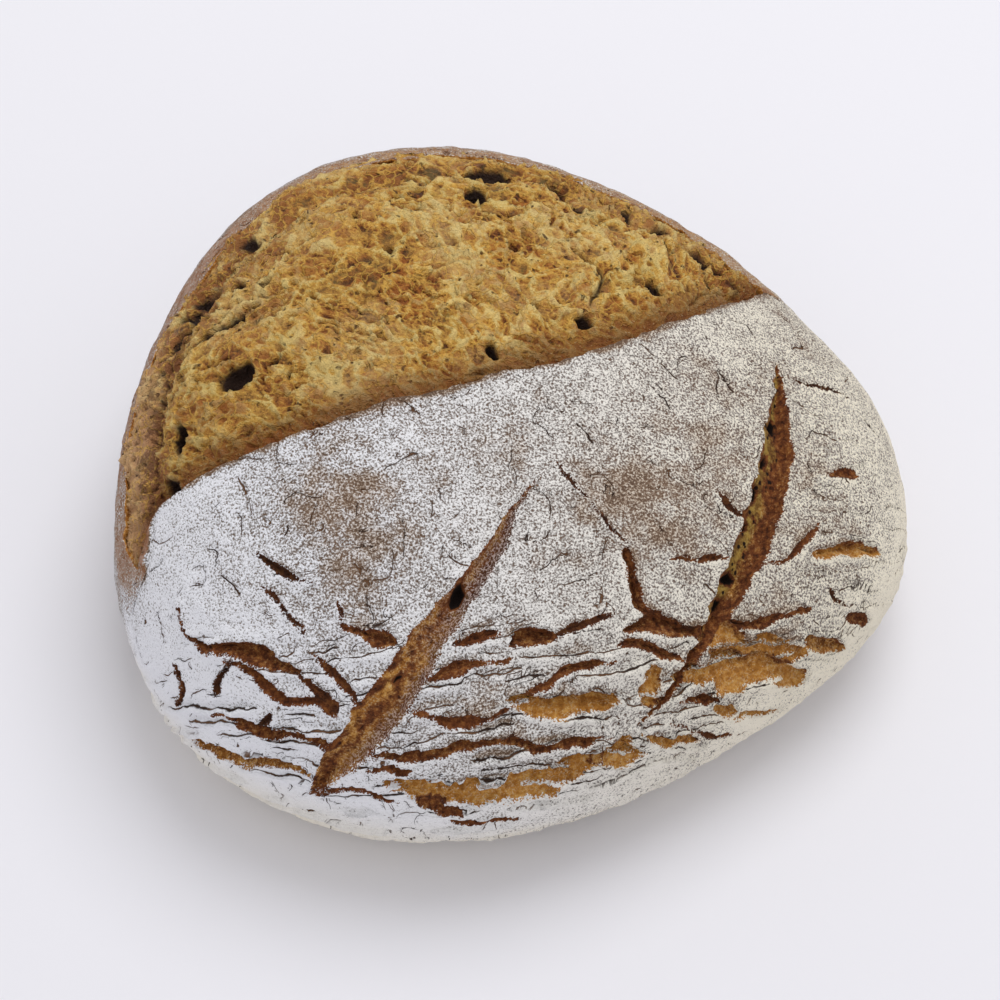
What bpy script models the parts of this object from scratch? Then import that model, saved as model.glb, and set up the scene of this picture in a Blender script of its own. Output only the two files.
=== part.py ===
"""A round country loaf, 225 mm across: floured crust, one long slash that burst open into a wide
rough bloom, two smaller slashes and the tears between them. One solid, resting on its flat sole.

The crust is worked out on a chart: the skin of the loaf unrolled about its top, in millimetres,
with p to the right and q to the back. Every slash, tear and hole is placed on that chart.
"""

import math

import bmesh
import bpy
import numpy as np

MM = 0.001

# The plain body, before anything bursts (mm)
MEAN_RADIUS = 109.0
BODY_HEIGHT = 100.0
BELT_HEIGHT = 30.0
UNDERCUT_DROP = 46.0
SOLE_ALLOWANCE = 1.5
CROWN_ROUNDNESS = 0.86
CROWN_FLATNESS = 0.90
UNDERCUT_ROUNDNESS = 0.70
LEAN_RIGHT, LEAN_BACK = -0.26 / 120, 0.04 / 120
# How the outline departs from a circle: waves round the loaf, share of the radius, angle of a crest
OUTLINE_WAVES = ((1, 0.024, 87), (2, 0.021, 0), (3, 0.058, -5), (4, 0.010, 0), (5, 0.007, -8))
SWELL_SIZE, SWELL_HEIGHT = 42.0, 1.6
# Folds that run across the front, low down between the slashes
FOLD_LENGTH, FOLD_WIDTH, FOLD_HEIGHT = 34.0, 7.5, 0.9
FOLDS_START, FOLDS_FULL = -70.0, -95.0
FOLDS_FADE, FOLDS_END = 140.0, 168.0

# The bloom lies between the ear, the near edge that lifted, and the lip behind it (chart mm)
EAR_LINE = ((-101, -54), (-95, -40), (-80, -35), (-61, -30.5), (-40, -23.5), (-20, -16),
            (0, -8.5), (20, 1), (40, 12), (58, 26), (74, 40), (86, 55))
LIP_LINE = ((-101, -54), (-109, -42), (-111, -10), (-103, 22), (-85, 47),
            (-50, 68), (-8, 83), (34, 84), (64, 74), (86, 55))
EAR_LIFT, EAR_REACH = 2.6, 13.0
LIP_LIFT, LIP_REACH = 0.8, 8.0
WALL_TUCK = 0.8
BLOOM_SINK, BLOOM_BRIM, BLOOM_EDGE_REACH = 2.2, 0.3, 7.0
CUSHION_RISE, CUSHION_REACH = 3.6, 26.0
FURROW_DEPTH, FURROW_OFFSET, FURROW_WIDTH = 3.6, 14.0, 5.0
CRAG_SIZE, CRAG_HEIGHT = 11.0, 1.5

# Slashes: points along the middle of the cut, each with the half width there (chart mm)
SLASHES = (
    ((13, -40, 0.3), (5, -52, 1.6), (-3, -64, 3.4), (-12, -77, 5.0), (-21, -89, 5.6),
     (-31, -100, 6.8), (-41, -109, 6.2), (-50, -116, 4.6), (-59, -123, 0.6)),
    ((77, 15, 0.4), (75.7, 0, 2.6), (74, -12, 4.2), (73.5, -26, 4.8), (73, -42, 5.2),
     (71, -56, 4.6), (68, -70, 3.6), (63, -84, 2.6), (56, -98, 2.4), (49, -110, 0.5)),
)
SLASH_DEPTH, SLASH_WALL, SLASH_LIP = 3.6, 3.0, 0.8

# Tears where the skin parted: half width, then points along the middle (chart mm)
TEARS = (
    (3.8, ((-36, -121), (-15, -126), (8, -128), (30, -123), (47, -115), (54, -110))),
    (1.8, ((-40, -112), (-20, -114.5), (-5, -112.5), (10, -111))),
    (2.8, ((1, -101), (15, -102.5), (30, -101.5), (45, -101))),
    (1.4, ((-17, -94), (-8, -91.5), (4, -89.5))),
    (1.8, ((4, -85), (12, -84), (20, -82))),
    (1.7, ((38, -54), (41, -63), (44, -71), (50, -76))),
    (2.8, ((44, -80), (52, -79), (60, -78), (68, -77))),
    (4.6, ((46, -89), (50, -94), (54, -102))),
    (4.2, ((68, -72), (78, -75), (88, -77), (99, -77))),
    (3.6, ((58, -91), (70, -87), (84, -84), (104, -83))),
    (3.2, ((76, -100), (88, -100), (98, -97), (108, -96))),
    (2.6, ((50, -111), (60, -114), (68, -113), (78, -114))),
    (3.0, ((90, -41), (100, -38), (110, -34), (124, -31))),
    (2.4, ((100, -67), (110, -69), (122, -67))),
    (1.8, ((86, -38), (90, -33), (94, -27))),
    (1.7, ((89, -19), (93, -15), (101, -13))),
    (1.9, ((-79, -76), (-70, -80), (-63, -84.5), (-52, -88.5))),
    (1.5, ((-47, -87), (-41, -92), (-36, -97))),
    (1.8, ((-40, -77), (-34, -80), (-26, -82))),
    (2.4, ((-68, -101), (-60, -105), (-52, -107), (-45, -109))),
    (2.6, ((-90, -105), (-80, -109.5), (-70, -112), (-55, -118))),
    (1.6, ((-94, -76), (-93, -83), (-97, -88), (-104, -90))),
    (1.8, ((-22, -140), (0, -142), (22, -139))),
    (2.2, ((-130, 40), (-122, 58), (-108, 76))),
    (2.4, ((-72, 112), (-50, 122), (-24, 128))),
    (2.0, ((10, 122), (34, 120), (56, 110))),
    (2.2, ((98, 92), (112, 76), (122, 56))),
    (1.8, ((-148, -18), (-150, 4), (-147, 26))),
)
TEAR_DEPTH, TEAR_WALL, TEAR_LIP = 2.4, 2.2, 0.5
LIP_SPREAD = 2.6

# Holes in the bloom: middle (p, q), half length, half width, turn in degrees, depth
HOLES = (
    (-70, -7, 6.2, 4.2, 25, 4.5), (-61, -5, 2.6, 3.2, 0, 2.6), (-87, -20, 5.4, 3.0, 100, 5.5),
    (-91, -33, 6.0, 2.6, 150, 4.0), (-5, 54, 3.4, 4.4, 0, 5.5), (-11, 52, 2.8, 3.4, 0, 3.0),
    (0, 1, 2.3, 2.8, 0, 4.0), (26, 14.5, 2.9, 2.8, 0, 4.5), (13, 18, 2.6, 2.0, 0, 2.6),
    (46, 34, 2.6, 4.6, 0, 5.0), (66, 45, 6.5, 2.2, 65, 4.0), (37, 65, 4.8, 3.0, 70, 5.5),
    (25, 60, 2.8, 3.2, 0, 5.0), (3, 73, 7.0, 2.8, -10, 4.0), (20, 73, 4.4, 2.8, 70, 3.6),
    (24, 36, 6.5, 5.6, 0, 1.8), (-28, 30, 2.4, 3.0, 0, 2.4), (-68, 25, 3.6, 2.6, 0, 3.6),
    (-65, 16, 4.4, 2.0, -20, 3.6), (-78, 31, 2.6, 2.4, 0, 3.6), (-89, 29, 2.2, 2.6, 0, 3.4),
    (-79, 20, 3.2, 2.2, -20, 3.4), (-95, 3, 3.0, 6.0, 0, 2.4), (-20, 62, 5.0, 2.2, 10, 3.2),
)
HOLE_WALL = 2.2

# How finely the skin is worked out, and how many triangles are kept
COLUMNS, CRUST_ROWS, BLOOM_ROWS = 230, 128, 84
TRIANGLES = 11600
PROFILE_STEPS = 600
SPLINE_STEPS = 16
SPINE_POINTS = 24

CRUST_COLOUR = (0.52, 0.44, 0.36, 1.0)
CRUST_ROUGHNESS = 0.9


def lattice_value(i, j, k, seed):
    """One repeatable number from -1 to 1 for each corner of a grid of unit cubes."""
    mixed = (i * 73856093) ^ (j * 19349663) ^ (k * 83492791) ^ (seed * 2654435761)
    mixed = mixed & 0xFFFFFFFF
    mixed = ((mixed ^ (mixed >> 13)) * 1274126177) & 0xFFFFFFFF
    mixed = mixed ^ (mixed >> 16)
    return mixed / 0x7FFFFFFF - 1


def noise(points, size, seed):
    """Smooth noise from -1 to 1 in space: random values at cube corners, eased between them."""
    cell = np.floor(points / size).astype(np.int64)
    part = points / size - cell
    ease = part ** 3 * (part * (part * 6 - 15) + 10)
    total = 0
    for corner in np.ndindex(2, 2, 2):
        weight = np.prod(np.where(corner, ease, 1 - ease), axis=-1)
        total = total + weight * lattice_value(*np.moveaxis(cell + corner, -1, 0), seed)
    return total


def smoothstep(low, high, value):
    """Eases from 0 at low to 1 at high."""
    share = np.clip((value - low) / (high - low), 0, 1)
    return share * share * (3 - 2 * share)


def curve_through(points, count):
    """Evenly spaced points on a smooth curve through a few chosen ones (Catmull-Rom). A third
    value beside each point, such as a half width, is carried along the curve too."""
    chosen = np.array(points, float)
    ends = np.vstack([2 * chosen[0] - chosen[1], chosen, 2 * chosen[-1] - chosen[-2]])
    t = np.linspace(0, 1, SPLINE_STEPS, endpoint=False)[:, None]
    spans = [
        0.5 * (2 * b + (c - a) * t + (2 * a - 5 * b + 4 * c - d) * t**2 + (3 * b - a - 3 * c + d) * t**3)
        for a, b, c, d in zip(ends, ends[1:], ends[2:], ends[3:])
    ]
    dense = np.vstack([*spans, chosen[-1:]])
    steps = np.hypot(np.diff(dense[:, 0]), np.diff(dense[:, 1]))
    along = np.concatenate([[0], np.cumsum(steps)])
    even = np.linspace(0, along[-1], count)
    return np.stack([np.interp(even, along, column) for column in dense.T], axis=1)


def nearest_on(spine, p, q):
    """Distance from chart points to a spine, and the nearest place along it from 0 to 1."""
    start, step = spine[:-1, :2], np.diff(spine[:, :2], axis=0)
    from_p, from_q = p[..., None] - start[:, 0], q[..., None] - start[:, 1]
    share = (from_p * step[:, 0] + from_q * step[:, 1]) / (step**2).sum(1)
    share = np.clip(share, 0, 1)
    distance = np.hypot(from_p - share * step[:, 0], from_q - share * step[:, 1])
    best = distance.argmin(-1)[..., None]
    place = (best + np.take_along_axis(share, best, -1)) / len(step)
    return np.take_along_axis(distance, best, -1)[..., 0], place[..., 0]


def body_profile():
    """The mean body's half section from its top down to just under the sole: distance along
    the skin, share of the radius, and height. A crown and an undercut meet at the belt."""
    end = math.pi / 2 + math.asin((BELT_HEIGHT + SOLE_ALLOWANCE) / UNDERCUT_DROP)
    turn = np.linspace(0, end, PROFILE_STEPS)
    crown = turn < math.pi / 2
    sine, cosine = np.sin(turn), np.cos(turn)
    share = sine ** np.where(crown, CROWN_ROUNDNESS, UNDERCUT_ROUNDNESS)
    rise = (BODY_HEIGHT - BELT_HEIGHT) * np.abs(cosine) ** CROWN_FLATNESS
    height = BELT_HEIGHT + np.where(crown, rise, UNDERCUT_DROP * cosine)
    steps = np.hypot(np.diff(share * MEAN_RADIUS), np.diff(height))
    return np.concatenate([[0], np.cumsum(steps)]), share, height


PROFILE = body_profile()
CHART_RADIUS = PROFILE[0][-1]


def body(p, q):
    """The plain body at chart points: the profile turned about the top, its radius swelling
    and shrinking round the loaf, and the crown leaning to the left."""
    along, share, height = PROFILE
    angle, distance = np.arctan2(q, p), np.hypot(p, q)
    waves = sum(size * np.cos(n * (angle - math.radians(crest))) for n, size, crest in OUTLINE_WAVES)
    radius = MEAN_RADIUS * (1 + waves) * np.interp(distance, along, share)
    x, y = radius * np.cos(angle), radius * np.sin(angle)
    z = np.interp(distance, along, height)
    lean = np.where(z > BELT_HEIGHT, LEAN_RIGHT * x + LEAN_BACK * y, 0)
    return np.stack([x, y, z + (z - BELT_HEIGHT) * lean], axis=-1)


def body_normal(p, q):
    """The way out of the plain body, from the cross product of two short steps on the chart."""
    step = 1.0
    along_p = body(p + step, q) - body(p - step, q)
    along_q = body(p, q + step) - body(p, q - step)
    normal = np.cross(along_p, along_q)
    return normal / np.linalg.norm(normal, axis=-1, keepdims=True)


def opening(height, edge, depth, wall, lip):
    """Sinks the skin inside an opening, where edge, the distance outside its rim, is below
    zero, and raises a small lip round it."""
    sunk = depth * smoothstep(0, wall, -edge)
    raised = lip * np.exp(-((edge / LIP_SPREAD) ** 2)) * (edge > 0)
    return height - sunk + raised


def crust_height(p, q):
    """How far the crust stands off the plain body: long swells, the lifted ear and lip, the
    slashes and the tears."""
    height = SWELL_HEIGHT * noise(body(p, q), SWELL_SIZE, 3)
    folds = noise(np.stack([p / FOLD_LENGTH, q / FOLD_WIDTH, q * 0], axis=-1), 1.0, 7)
    where = smoothstep(FOLDS_START, FOLDS_FULL, q) * smoothstep(FOLDS_END, FOLDS_FADE, np.hypot(p, q))
    height = height + FOLD_HEIGHT * folds * where
    ear, along_ear = nearest_on(curve_through(EAR_LINE, 60), p, q)
    lip, _ = nearest_on(curve_through(LIP_LINE, 60), p, q)
    crest = np.sin(math.pi * np.clip(along_ear, 0.02, 0.98)) ** 0.5
    height = height + EAR_LIFT * crest * np.exp(-ear / EAR_REACH)
    height = height + LIP_LIFT * np.exp(-lip / LIP_REACH)
    for cut in SLASHES:
        spine = curve_through(cut, SPINE_POINTS)
        distance, place = nearest_on(spine, p, q)
        half_width = np.interp(place, np.linspace(0, 1, SPINE_POINTS), spine[:, 2])
        height = opening(height, distance - half_width, SLASH_DEPTH, SLASH_WALL, SLASH_LIP)
    for half_width, points in TEARS:
        distance, place = nearest_on(curve_through(points, SPINE_POINTS), p, q)
        taper = (4 * place * (1 - place)) ** 0.6
        height = opening(height, distance - half_width * taper, TEAR_DEPTH, TEAR_WALL, TEAR_LIP)
    return height


def bloom_height(p, q):
    """How far the burst crumb stands off the plain body: sunk along the ear, flush with the lip
    behind, a cushion in the middle, a furrow before the lip, crags, and the larger holes."""
    ear, _ = nearest_on(curve_through(EAR_LINE, 60), p, q)
    lip, _ = nearest_on(curve_through(LIP_LINE, 60), p, q)
    inside = np.minimum(ear, lip)
    height = CUSHION_RISE * smoothstep(0, CUSHION_REACH, inside)
    height = height + SWELL_HEIGHT * noise(body(p, q), SWELL_SIZE, 3)
    height = height - BLOOM_SINK * np.exp(-ear / BLOOM_EDGE_REACH)
    height = height + BLOOM_BRIM * np.exp(-lip / BLOOM_EDGE_REACH)
    height = height - FURROW_DEPTH * np.exp(-(((lip - FURROW_OFFSET) / FURROW_WIDTH) ** 2))
    height = height + CRAG_HEIGHT * noise(body(p, q), CRAG_SIZE, 5)
    for middle_p, middle_q, half_length, half_width, turn, depth in HOLES:
        cosine, sine = math.cos(math.radians(turn)), math.sin(math.radians(turn))
        along = (p - middle_p) * cosine + (q - middle_q) * sine
        across = (q - middle_q) * cosine - (p - middle_p) * sine
        rim = (np.hypot(along / half_length, across / half_width) - 1) * min(half_length, half_width)
        height = height - depth * smoothstep(0, HOLE_WALL, -rim)
    return height


def on_loaf(p, q, height):
    """Chart points raised off the plain body by height, in mm."""
    return body(p, q) + body_normal(p, q) * height[..., None]


def crust_chart():
    """Chart points of the crust: one column for each place round the bloom, and rows out from
    the bloom's edge to the sole."""
    ear = curve_through(EAR_LINE, COLUMNS + 1)
    lip = curve_through(LIP_LINE, COLUMNS + 1)
    ring = np.vstack([ear, lip[-2:0:-1]])
    left, right = (math.atan2(tip[1], tip[0]) for tip in (ear[0], ear[-1]))
    front = np.linspace(left, right, COLUMNS, endpoint=False)
    back = np.linspace(right, left + 2 * math.pi, COLUMNS, endpoint=False)
    angle = np.concatenate([front, back])
    rim = CHART_RADIUS * np.stack([np.cos(angle), np.sin(angle)], axis=1)
    out = np.linspace(0, 1, CRUST_ROWS)[:, None, None]
    return ring * (1 - out) + rim * out


def bloom_chart():
    """Chart points of the bloom: columns from its left tip to its right one, and rows from the
    ear to the lip. Its two edges are tucked in a little under the crust's."""
    ear = curve_through(EAR_LINE, COLUMNS + 1)
    lip = curve_through(LIP_LINE, COLUMNS + 1)
    tuck = WALL_TUCK * np.sin(np.linspace(0, math.pi, COLUMNS + 1))[:, None]
    across = lip - ear
    across = across / np.maximum(np.linalg.norm(across, axis=1, keepdims=True), WALL_TUCK)
    share = np.linspace(0, 1, BLOOM_ROWS)[:, None, None]
    return (ear - across * tuck) * (1 - share) + (lip + across * tuck) * share


def grid_faces(index):
    """Quads between neighbours of a grid of vertex numbers."""
    quads = np.stack([index[:-1, :-1], index[:-1, 1:], index[1:, 1:], index[1:, :-1]], axis=-1)
    return quads.reshape(-1, 4)


def loaf_skin():
    """The whole skin but its sole, as vertices in metres and faces: crust, bloom, and the low
    wall that joins the crust's edge to the bloom's."""
    crust_pq, bloom_pq = crust_chart(), bloom_chart()
    crust = on_loaf(crust_pq[..., 0], crust_pq[..., 1], crust_height(crust_pq[..., 0], crust_pq[..., 1]))
    bloom = on_loaf(bloom_pq[..., 0], bloom_pq[..., 1], bloom_height(bloom_pq[..., 0], bloom_pq[..., 1]))
    crust_index = np.arange(crust[..., 0].size).reshape(CRUST_ROWS, 2 * COLUMNS)
    bloom_index = np.arange(bloom[..., 0].size).reshape(BLOOM_ROWS, COLUMNS + 1)
    bloom_index = bloom_index + crust_index.size
    crust_closed = np.hstack([crust_index, crust_index[:, :1]])
    # Both tips are one place, so each of the bloom's end columns becomes one vertex there
    bloom_index[1:, 0] = bloom_index[0, 0]
    bloom_index[1:, -1] = bloom_index[0, -1]
    bloom_ring = np.concatenate([bloom_index[0], bloom_index[-1, -2:0:-1], bloom_index[0, :1]])
    wall = np.stack([bloom_ring, crust_closed[0]])
    faces = np.vstack([grid_faces(crust_closed), grid_faces(wall), grid_faces(bloom_index)[:, ::-1]])
    vertices = np.vstack([crust.reshape(-1, 3), bloom.reshape(-1, 3)]) * MM
    return vertices, faces


def skin_mesh(vertices, faces):
    """A clean mesh of the skin, its faces turned outwards."""
    mesh = bpy.data.meshes.new("loaf")
    mesh.from_pydata(vertices.tolist(), [], [tuple(dict.fromkeys(face)) for face in faces.tolist()])
    shape = bmesh.new()
    shape.from_mesh(mesh)
    loose = [vertex for vertex in shape.verts if not vertex.link_faces]
    bmesh.ops.delete(shape, geom=loose, context="VERTS")
    bmesh.ops.recalc_face_normals(shape, faces=shape.faces)
    shape.to_mesh(mesh)
    shape.free()
    return mesh


def reduce_triangles(loaf):
    """Keeps about the number of triangles asked for, most of them where the relief is."""
    corners = sum(len(face.vertices) - 2 for face in loaf.data.polygons)
    reducer = loaf.modifiers.new("reduce", "DECIMATE")
    reducer.ratio = TRIANGLES / corners
    reducer.use_collapse_triangulate = True
    fine = loaf.data
    loaf.data = bpy.data.meshes.new_from_object(loaf.evaluated_get(bpy.context.evaluated_depsgraph_get()))
    loaf.modifiers.clear()
    bpy.data.meshes.remove(fine)
    loaf.data.name = "loaf"


def cut_sole(loaf):
    """Slices the underside off at the table, closes it with one flat face, and sets the middle
    of the loaf's box over the origin."""
    shape = bmesh.new()
    shape.from_mesh(loaf.data)
    everything = shape.verts[:] + shape.edges[:] + shape.faces[:]
    bmesh.ops.bisect_plane(shape, geom=everything, plane_co=(0, 0, 0), plane_no=(0, 0, -1), clear_outer=True)
    rim = [edge for edge in shape.edges if edge.is_boundary]
    for vertex in {vertex for edge in rim for vertex in edge.verts}:
        vertex.co.z = 0
    bmesh.ops.contextual_create(shape, geom=rim)
    bmesh.ops.recalc_face_normals(shape, faces=shape.faces)
    places = np.array([vertex.co for vertex in shape.verts])
    middle = (places.min(0) + places.max(0)) / 2
    bmesh.ops.translate(shape, vec=(-middle[0], -middle[1], 0), verts=shape.verts)
    shape.to_mesh(loaf.data)
    shape.free()


def crust_material():
    """Baked crust under flour."""
    material = bpy.data.materials.new("floured crust")
    material.use_nodes = True
    shader = material.node_tree.nodes["Principled BSDF"]
    shader.inputs["Base Color"].default_value = CRUST_COLOUR
    shader.inputs["Roughness"].default_value = CRUST_ROUGHNESS
    shader.inputs["Metallic"].default_value = 0.0
    return material


def build_loaf():
    """Makes the loaf as one object."""
    loaf = bpy.data.objects.new("loaf", skin_mesh(*loaf_skin()))
    bpy.context.scene.collection.objects.link(loaf)
    reduce_triangles(loaf)
    cut_sole(loaf)
    loaf.data.shade_smooth()
    loaf.data.materials.append(crust_material())
    return loaf


for old in list(bpy.data.objects):
    bpy.data.objects.remove(old)
build_loaf()
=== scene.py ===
# %% [markdown]
# # A round country loaf
#
# The loaf is made in two pieces. The crust is the whole floured body with its slashes and tears,
# and the bloom is the rough golden crumb that pushed out where the longest slash burst open.
# Both are worked out on a chart of the loaf's skin, so that a tear can be placed in real
# millimetres and still bend round the body.

# %%
# Tools and the fixed frame
import math

import bpy
import numpy as np
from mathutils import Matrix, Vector


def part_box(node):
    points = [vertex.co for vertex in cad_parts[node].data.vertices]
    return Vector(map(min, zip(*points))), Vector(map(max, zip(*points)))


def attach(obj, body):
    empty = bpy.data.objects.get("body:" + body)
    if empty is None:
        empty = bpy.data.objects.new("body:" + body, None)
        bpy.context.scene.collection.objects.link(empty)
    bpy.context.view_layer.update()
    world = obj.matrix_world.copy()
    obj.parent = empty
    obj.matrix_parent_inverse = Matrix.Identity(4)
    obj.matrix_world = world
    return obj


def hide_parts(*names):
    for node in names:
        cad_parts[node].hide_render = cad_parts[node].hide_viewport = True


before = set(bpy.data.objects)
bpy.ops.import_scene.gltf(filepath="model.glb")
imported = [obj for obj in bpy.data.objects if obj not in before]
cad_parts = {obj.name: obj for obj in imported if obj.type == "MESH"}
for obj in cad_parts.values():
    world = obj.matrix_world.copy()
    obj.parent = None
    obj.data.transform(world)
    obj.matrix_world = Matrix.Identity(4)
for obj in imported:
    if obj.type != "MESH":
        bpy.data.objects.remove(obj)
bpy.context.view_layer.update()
MM = 0.001
cad_low, cad_high = (np.array(corner, float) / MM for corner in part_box("loaf"))
print("the fixed loaf is", np.round(cad_high - cad_low, 1), "mm")

# %% [markdown]
# ## Noise
#
# Dough tears and bubbles without a pattern. Two kinds of random field imitate that: a smooth
# one, for swells, folds and strands, and a cellular one, for the bubbles of the crumb. Both are
# computed from whole-number lattice corners, so they come out the same on every run.

# %%
# Smooth noise and cell noise


def lattice_value(i, j, k, seed):
    """One repeatable number from -1 to 1 for each corner of a grid of unit cubes."""
    stirred = (i * 73856093) ^ (j * 19349663) ^ (k * 83492791) ^ (seed * 2654435761)
    stirred = stirred & 0xFFFFFFFF
    stirred = ((stirred ^ (stirred >> 13)) * 1274126177) & 0xFFFFFFFF
    stirred = stirred ^ (stirred >> 16)
    return stirred / 0x7FFFFFFF - 1


def noise(points, size, seed):
    """Smooth noise from -1 to 1: random values at cube corners, eased between them."""
    cell = np.floor(points / size).astype(np.int64)
    part = points / size - cell
    ease = part ** 3 * (part * (part * 6 - 15) + 10)
    total = 0
    for corner in np.ndindex(2, 2, 2):
        weight = np.prod(np.where(corner, ease, 1 - ease), axis=-1)
        total = total + weight * lattice_value(*np.moveaxis(cell + corner, -1, 0), seed)
    return total


def flat_noise(u, v, size, seed):
    """Smooth noise on a flat chart."""
    return noise(np.stack([u, v, 0 * u], axis=-1), size, seed)


def octaves(u, v, size, seed, count=3):
    """Several smooth noises added, each half as large and half as strong as the last."""
    return sum(flat_noise(u, v, size / 2**n, seed + n) / 2**n for n in range(count))


def cells(u, v, size, seed):
    """Cell noise: distance to the nearest and to the second nearest of scattered points, one in
    each square of a grid, in squares."""
    u, v = u / size, v / size
    cell_u, cell_v = np.floor(u).astype(np.int64), np.floor(v).astype(np.int64)
    first, second = np.full(u.shape, 9.0), np.full(u.shape, 9.0)
    for step_u, step_v in np.ndindex(3, 3):
        i, j = cell_u + step_u - 1, cell_v + step_v - 1
        at_u = i + 0.5 + 0.42 * lattice_value(i, j, 0 * i, seed)
        at_v = j + 0.5 + 0.42 * lattice_value(i, j, 0 * i + 1, seed)
        away = np.hypot(u - at_u, v - at_v)
        second = np.minimum(second, np.maximum(first, away))
        first = np.minimum(first, away)
    return first, second


def smoothstep(low, high, value):
    """Eases from 0 at low to 1 at high."""
    share = np.clip((value - low) / (high - low), 0, 1)
    return share * share * (3 - 2 * share)


# %% [markdown]
# ## The plain body and its chart
#
# Before anything burst, the dough was a round heap: a domed crown, a belt where it is widest,
# and a rounded undercut down to the flat sole. The outline is a circle with a few waves, and the
# crown leans to the left. Unrolling the skin about its top gives the chart: `p` runs to the
# right and `q` to the back, in millimetres along the skin.

# %%
# The body as a function of the chart
MEAN_RADIUS, BODY_HEIGHT, BELT_HEIGHT, UNDERCUT_DROP = 109.0, 100.0, 30.0, 46.0
CROWN_ROUNDNESS, CROWN_FLATNESS, UNDERCUT_ROUNDNESS = 0.86, 0.90, 0.70
LEAN_RIGHT, LEAN_BACK = -0.26 / 120, 0.04 / 120
OUTLINE_WAVES = ((1, 0.024, 87), (2, 0.021, 0), (3, 0.058, -5), (4, 0.010, 0), (5, 0.007, -8))
PROFILE_STEPS = 800


def body_profile():
    """The mean half section from the top to the table: distance along the skin, share of the
    radius, and height."""
    end = math.pi / 2 + math.asin(BELT_HEIGHT / UNDERCUT_DROP)
    turn = np.linspace(0, end, PROFILE_STEPS)
    crown = turn < math.pi / 2
    sine, cosine = np.sin(turn), np.cos(turn)
    share = sine ** np.where(crown, CROWN_ROUNDNESS, UNDERCUT_ROUNDNESS)
    rise = (BODY_HEIGHT - BELT_HEIGHT) * np.abs(cosine) ** CROWN_FLATNESS
    height = BELT_HEIGHT + np.where(crown, rise, UNDERCUT_DROP * cosine)
    steps = np.hypot(np.diff(share * MEAN_RADIUS), np.diff(height))
    return np.concatenate([[0], np.cumsum(steps)]), share, height


PROFILE = body_profile()
CHART_RADIUS = PROFILE[0][-1]


def body(p, q):
    """The plain body at chart points: the profile turned about the top, its radius swelling
    and shrinking round the loaf, and the crown leaning to the left."""
    along, share, height = PROFILE
    angle, distance = np.arctan2(q, p), np.hypot(p, q)
    waves = sum(size * np.cos(n * (angle - math.radians(crest))) for n, size, crest in OUTLINE_WAVES)
    radius = MEAN_RADIUS * (1 + waves) * np.interp(distance, along, share)
    x, y = radius * np.cos(angle), radius * np.sin(angle)
    z = np.interp(distance, along, height)
    lean = np.where(z > BELT_HEIGHT, LEAN_RIGHT * x + LEAN_BACK * y, 0)
    return np.stack([x, y, z + (z - BELT_HEIGHT) * lean], axis=-1)


def body_normal(p, q):
    """The way out of the plain body: the cross product of two short steps on the chart."""
    along_p = body(p + 1, q) - body(p - 1, q)
    along_q = body(p, q + 1) - body(p, q - 1)
    normal = np.cross(along_p, along_q)
    return normal / np.linalg.norm(normal, axis=-1, keepdims=True)


def on_loaf(p, q, height):
    """Chart points raised off the plain body by height."""
    return body(p, q) + body_normal(p, q) * height[..., None]


print("from its top to its sole the skin measures", round(CHART_RADIUS), "mm")

# %% [markdown]
# ## Curves on the chart
#
# A baker's blade and the tears that follow it leave smooth lines. Each is a smooth curve through
# a few points. For every place on the chart we need its signed distance to such a line, and how
# far along the line it lies, so that a cut can taper to its ends and lean to one side.

# %%
# Smooth lines and the distance to them


def curve_through(points, count):
    """Evenly spaced points on a Catmull-Rom curve. A third value beside each point, such as a
    half width, is carried along the curve too."""
    chosen = np.array(points, float)
    ends = np.vstack([2 * chosen[0] - chosen[1], chosen, 2 * chosen[-1] - chosen[-2]])
    t = np.linspace(0, 1, 16, endpoint=False)[:, None]
    spans = [
        0.5 * (2 * b + (c - a) * t + (2 * a - 5 * b + 4 * c - d) * t**2 + (3 * b - a - 3 * c + d) * t**3)
        for a, b, c, d in zip(ends, ends[1:], ends[2:], ends[3:])
    ]
    dense = np.vstack([*spans, chosen[-1:]])
    along = np.concatenate([[0], np.cumsum(np.hypot(*np.diff(dense[:, :2], axis=0).T))])
    even = np.linspace(0, along[-1], count)
    return np.stack([np.interp(even, along, column) for column in dense.T], axis=1)


def nearest_on(spine, p, q):
    """Distance from chart points to a spine, counted positive on its left as it runs, and the
    nearest place along it from 0 to 1."""
    start, step = spine[:-1, :2], np.diff(spine[:, :2], axis=0)
    from_p, from_q = p[..., None] - start[:, 0], q[..., None] - start[:, 1]
    share = np.clip((from_p * step[:, 0] + from_q * step[:, 1]) / (step**2).sum(1), 0, 1)
    distance = np.hypot(from_p - share * step[:, 0], from_q - share * step[:, 1])
    side = np.sign(step[:, 0] * from_q - step[:, 1] * from_p)
    best = distance.argmin(-1)[..., None]
    pick = [np.take_along_axis(field, best, -1)[..., 0] for field in (distance, side, share)]
    return pick[0] * pick[1], (best[..., 0] + pick[2]) / len(step)


# %% [markdown]
# ## Where the crust opened
#
# The long slash ran across the top. Its near side lifted into an ear, and its far side was
# pushed back, so the bloom lies between two lines. The two smaller slashes are leaf shaped and
# lean: one wall is steep and its crumb is painted dark as shade, and the other slopes up as pale
# crumb. Tears run across them low on the front, where the dough was pulled hardest. Each opening
# is a half width, a depth, a lean and a few points.

# %%
# The openings, in chart millimetres
EAR_LINE = ((-101, -54), (-95, -40), (-80, -35), (-61, -30.5), (-40, -23.5), (-20, -16),
            (0, -8.5), (20, 1), (40, 12), (58, 26), (74, 40), (86, 55))
LIP_LINE = ((-101, -54), (-109, -42), (-111, -10), (-103, 22), (-85, 47),
            (-50, 68), (-8, 83), (34, 84), (64, 74), (86, 55))

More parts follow.
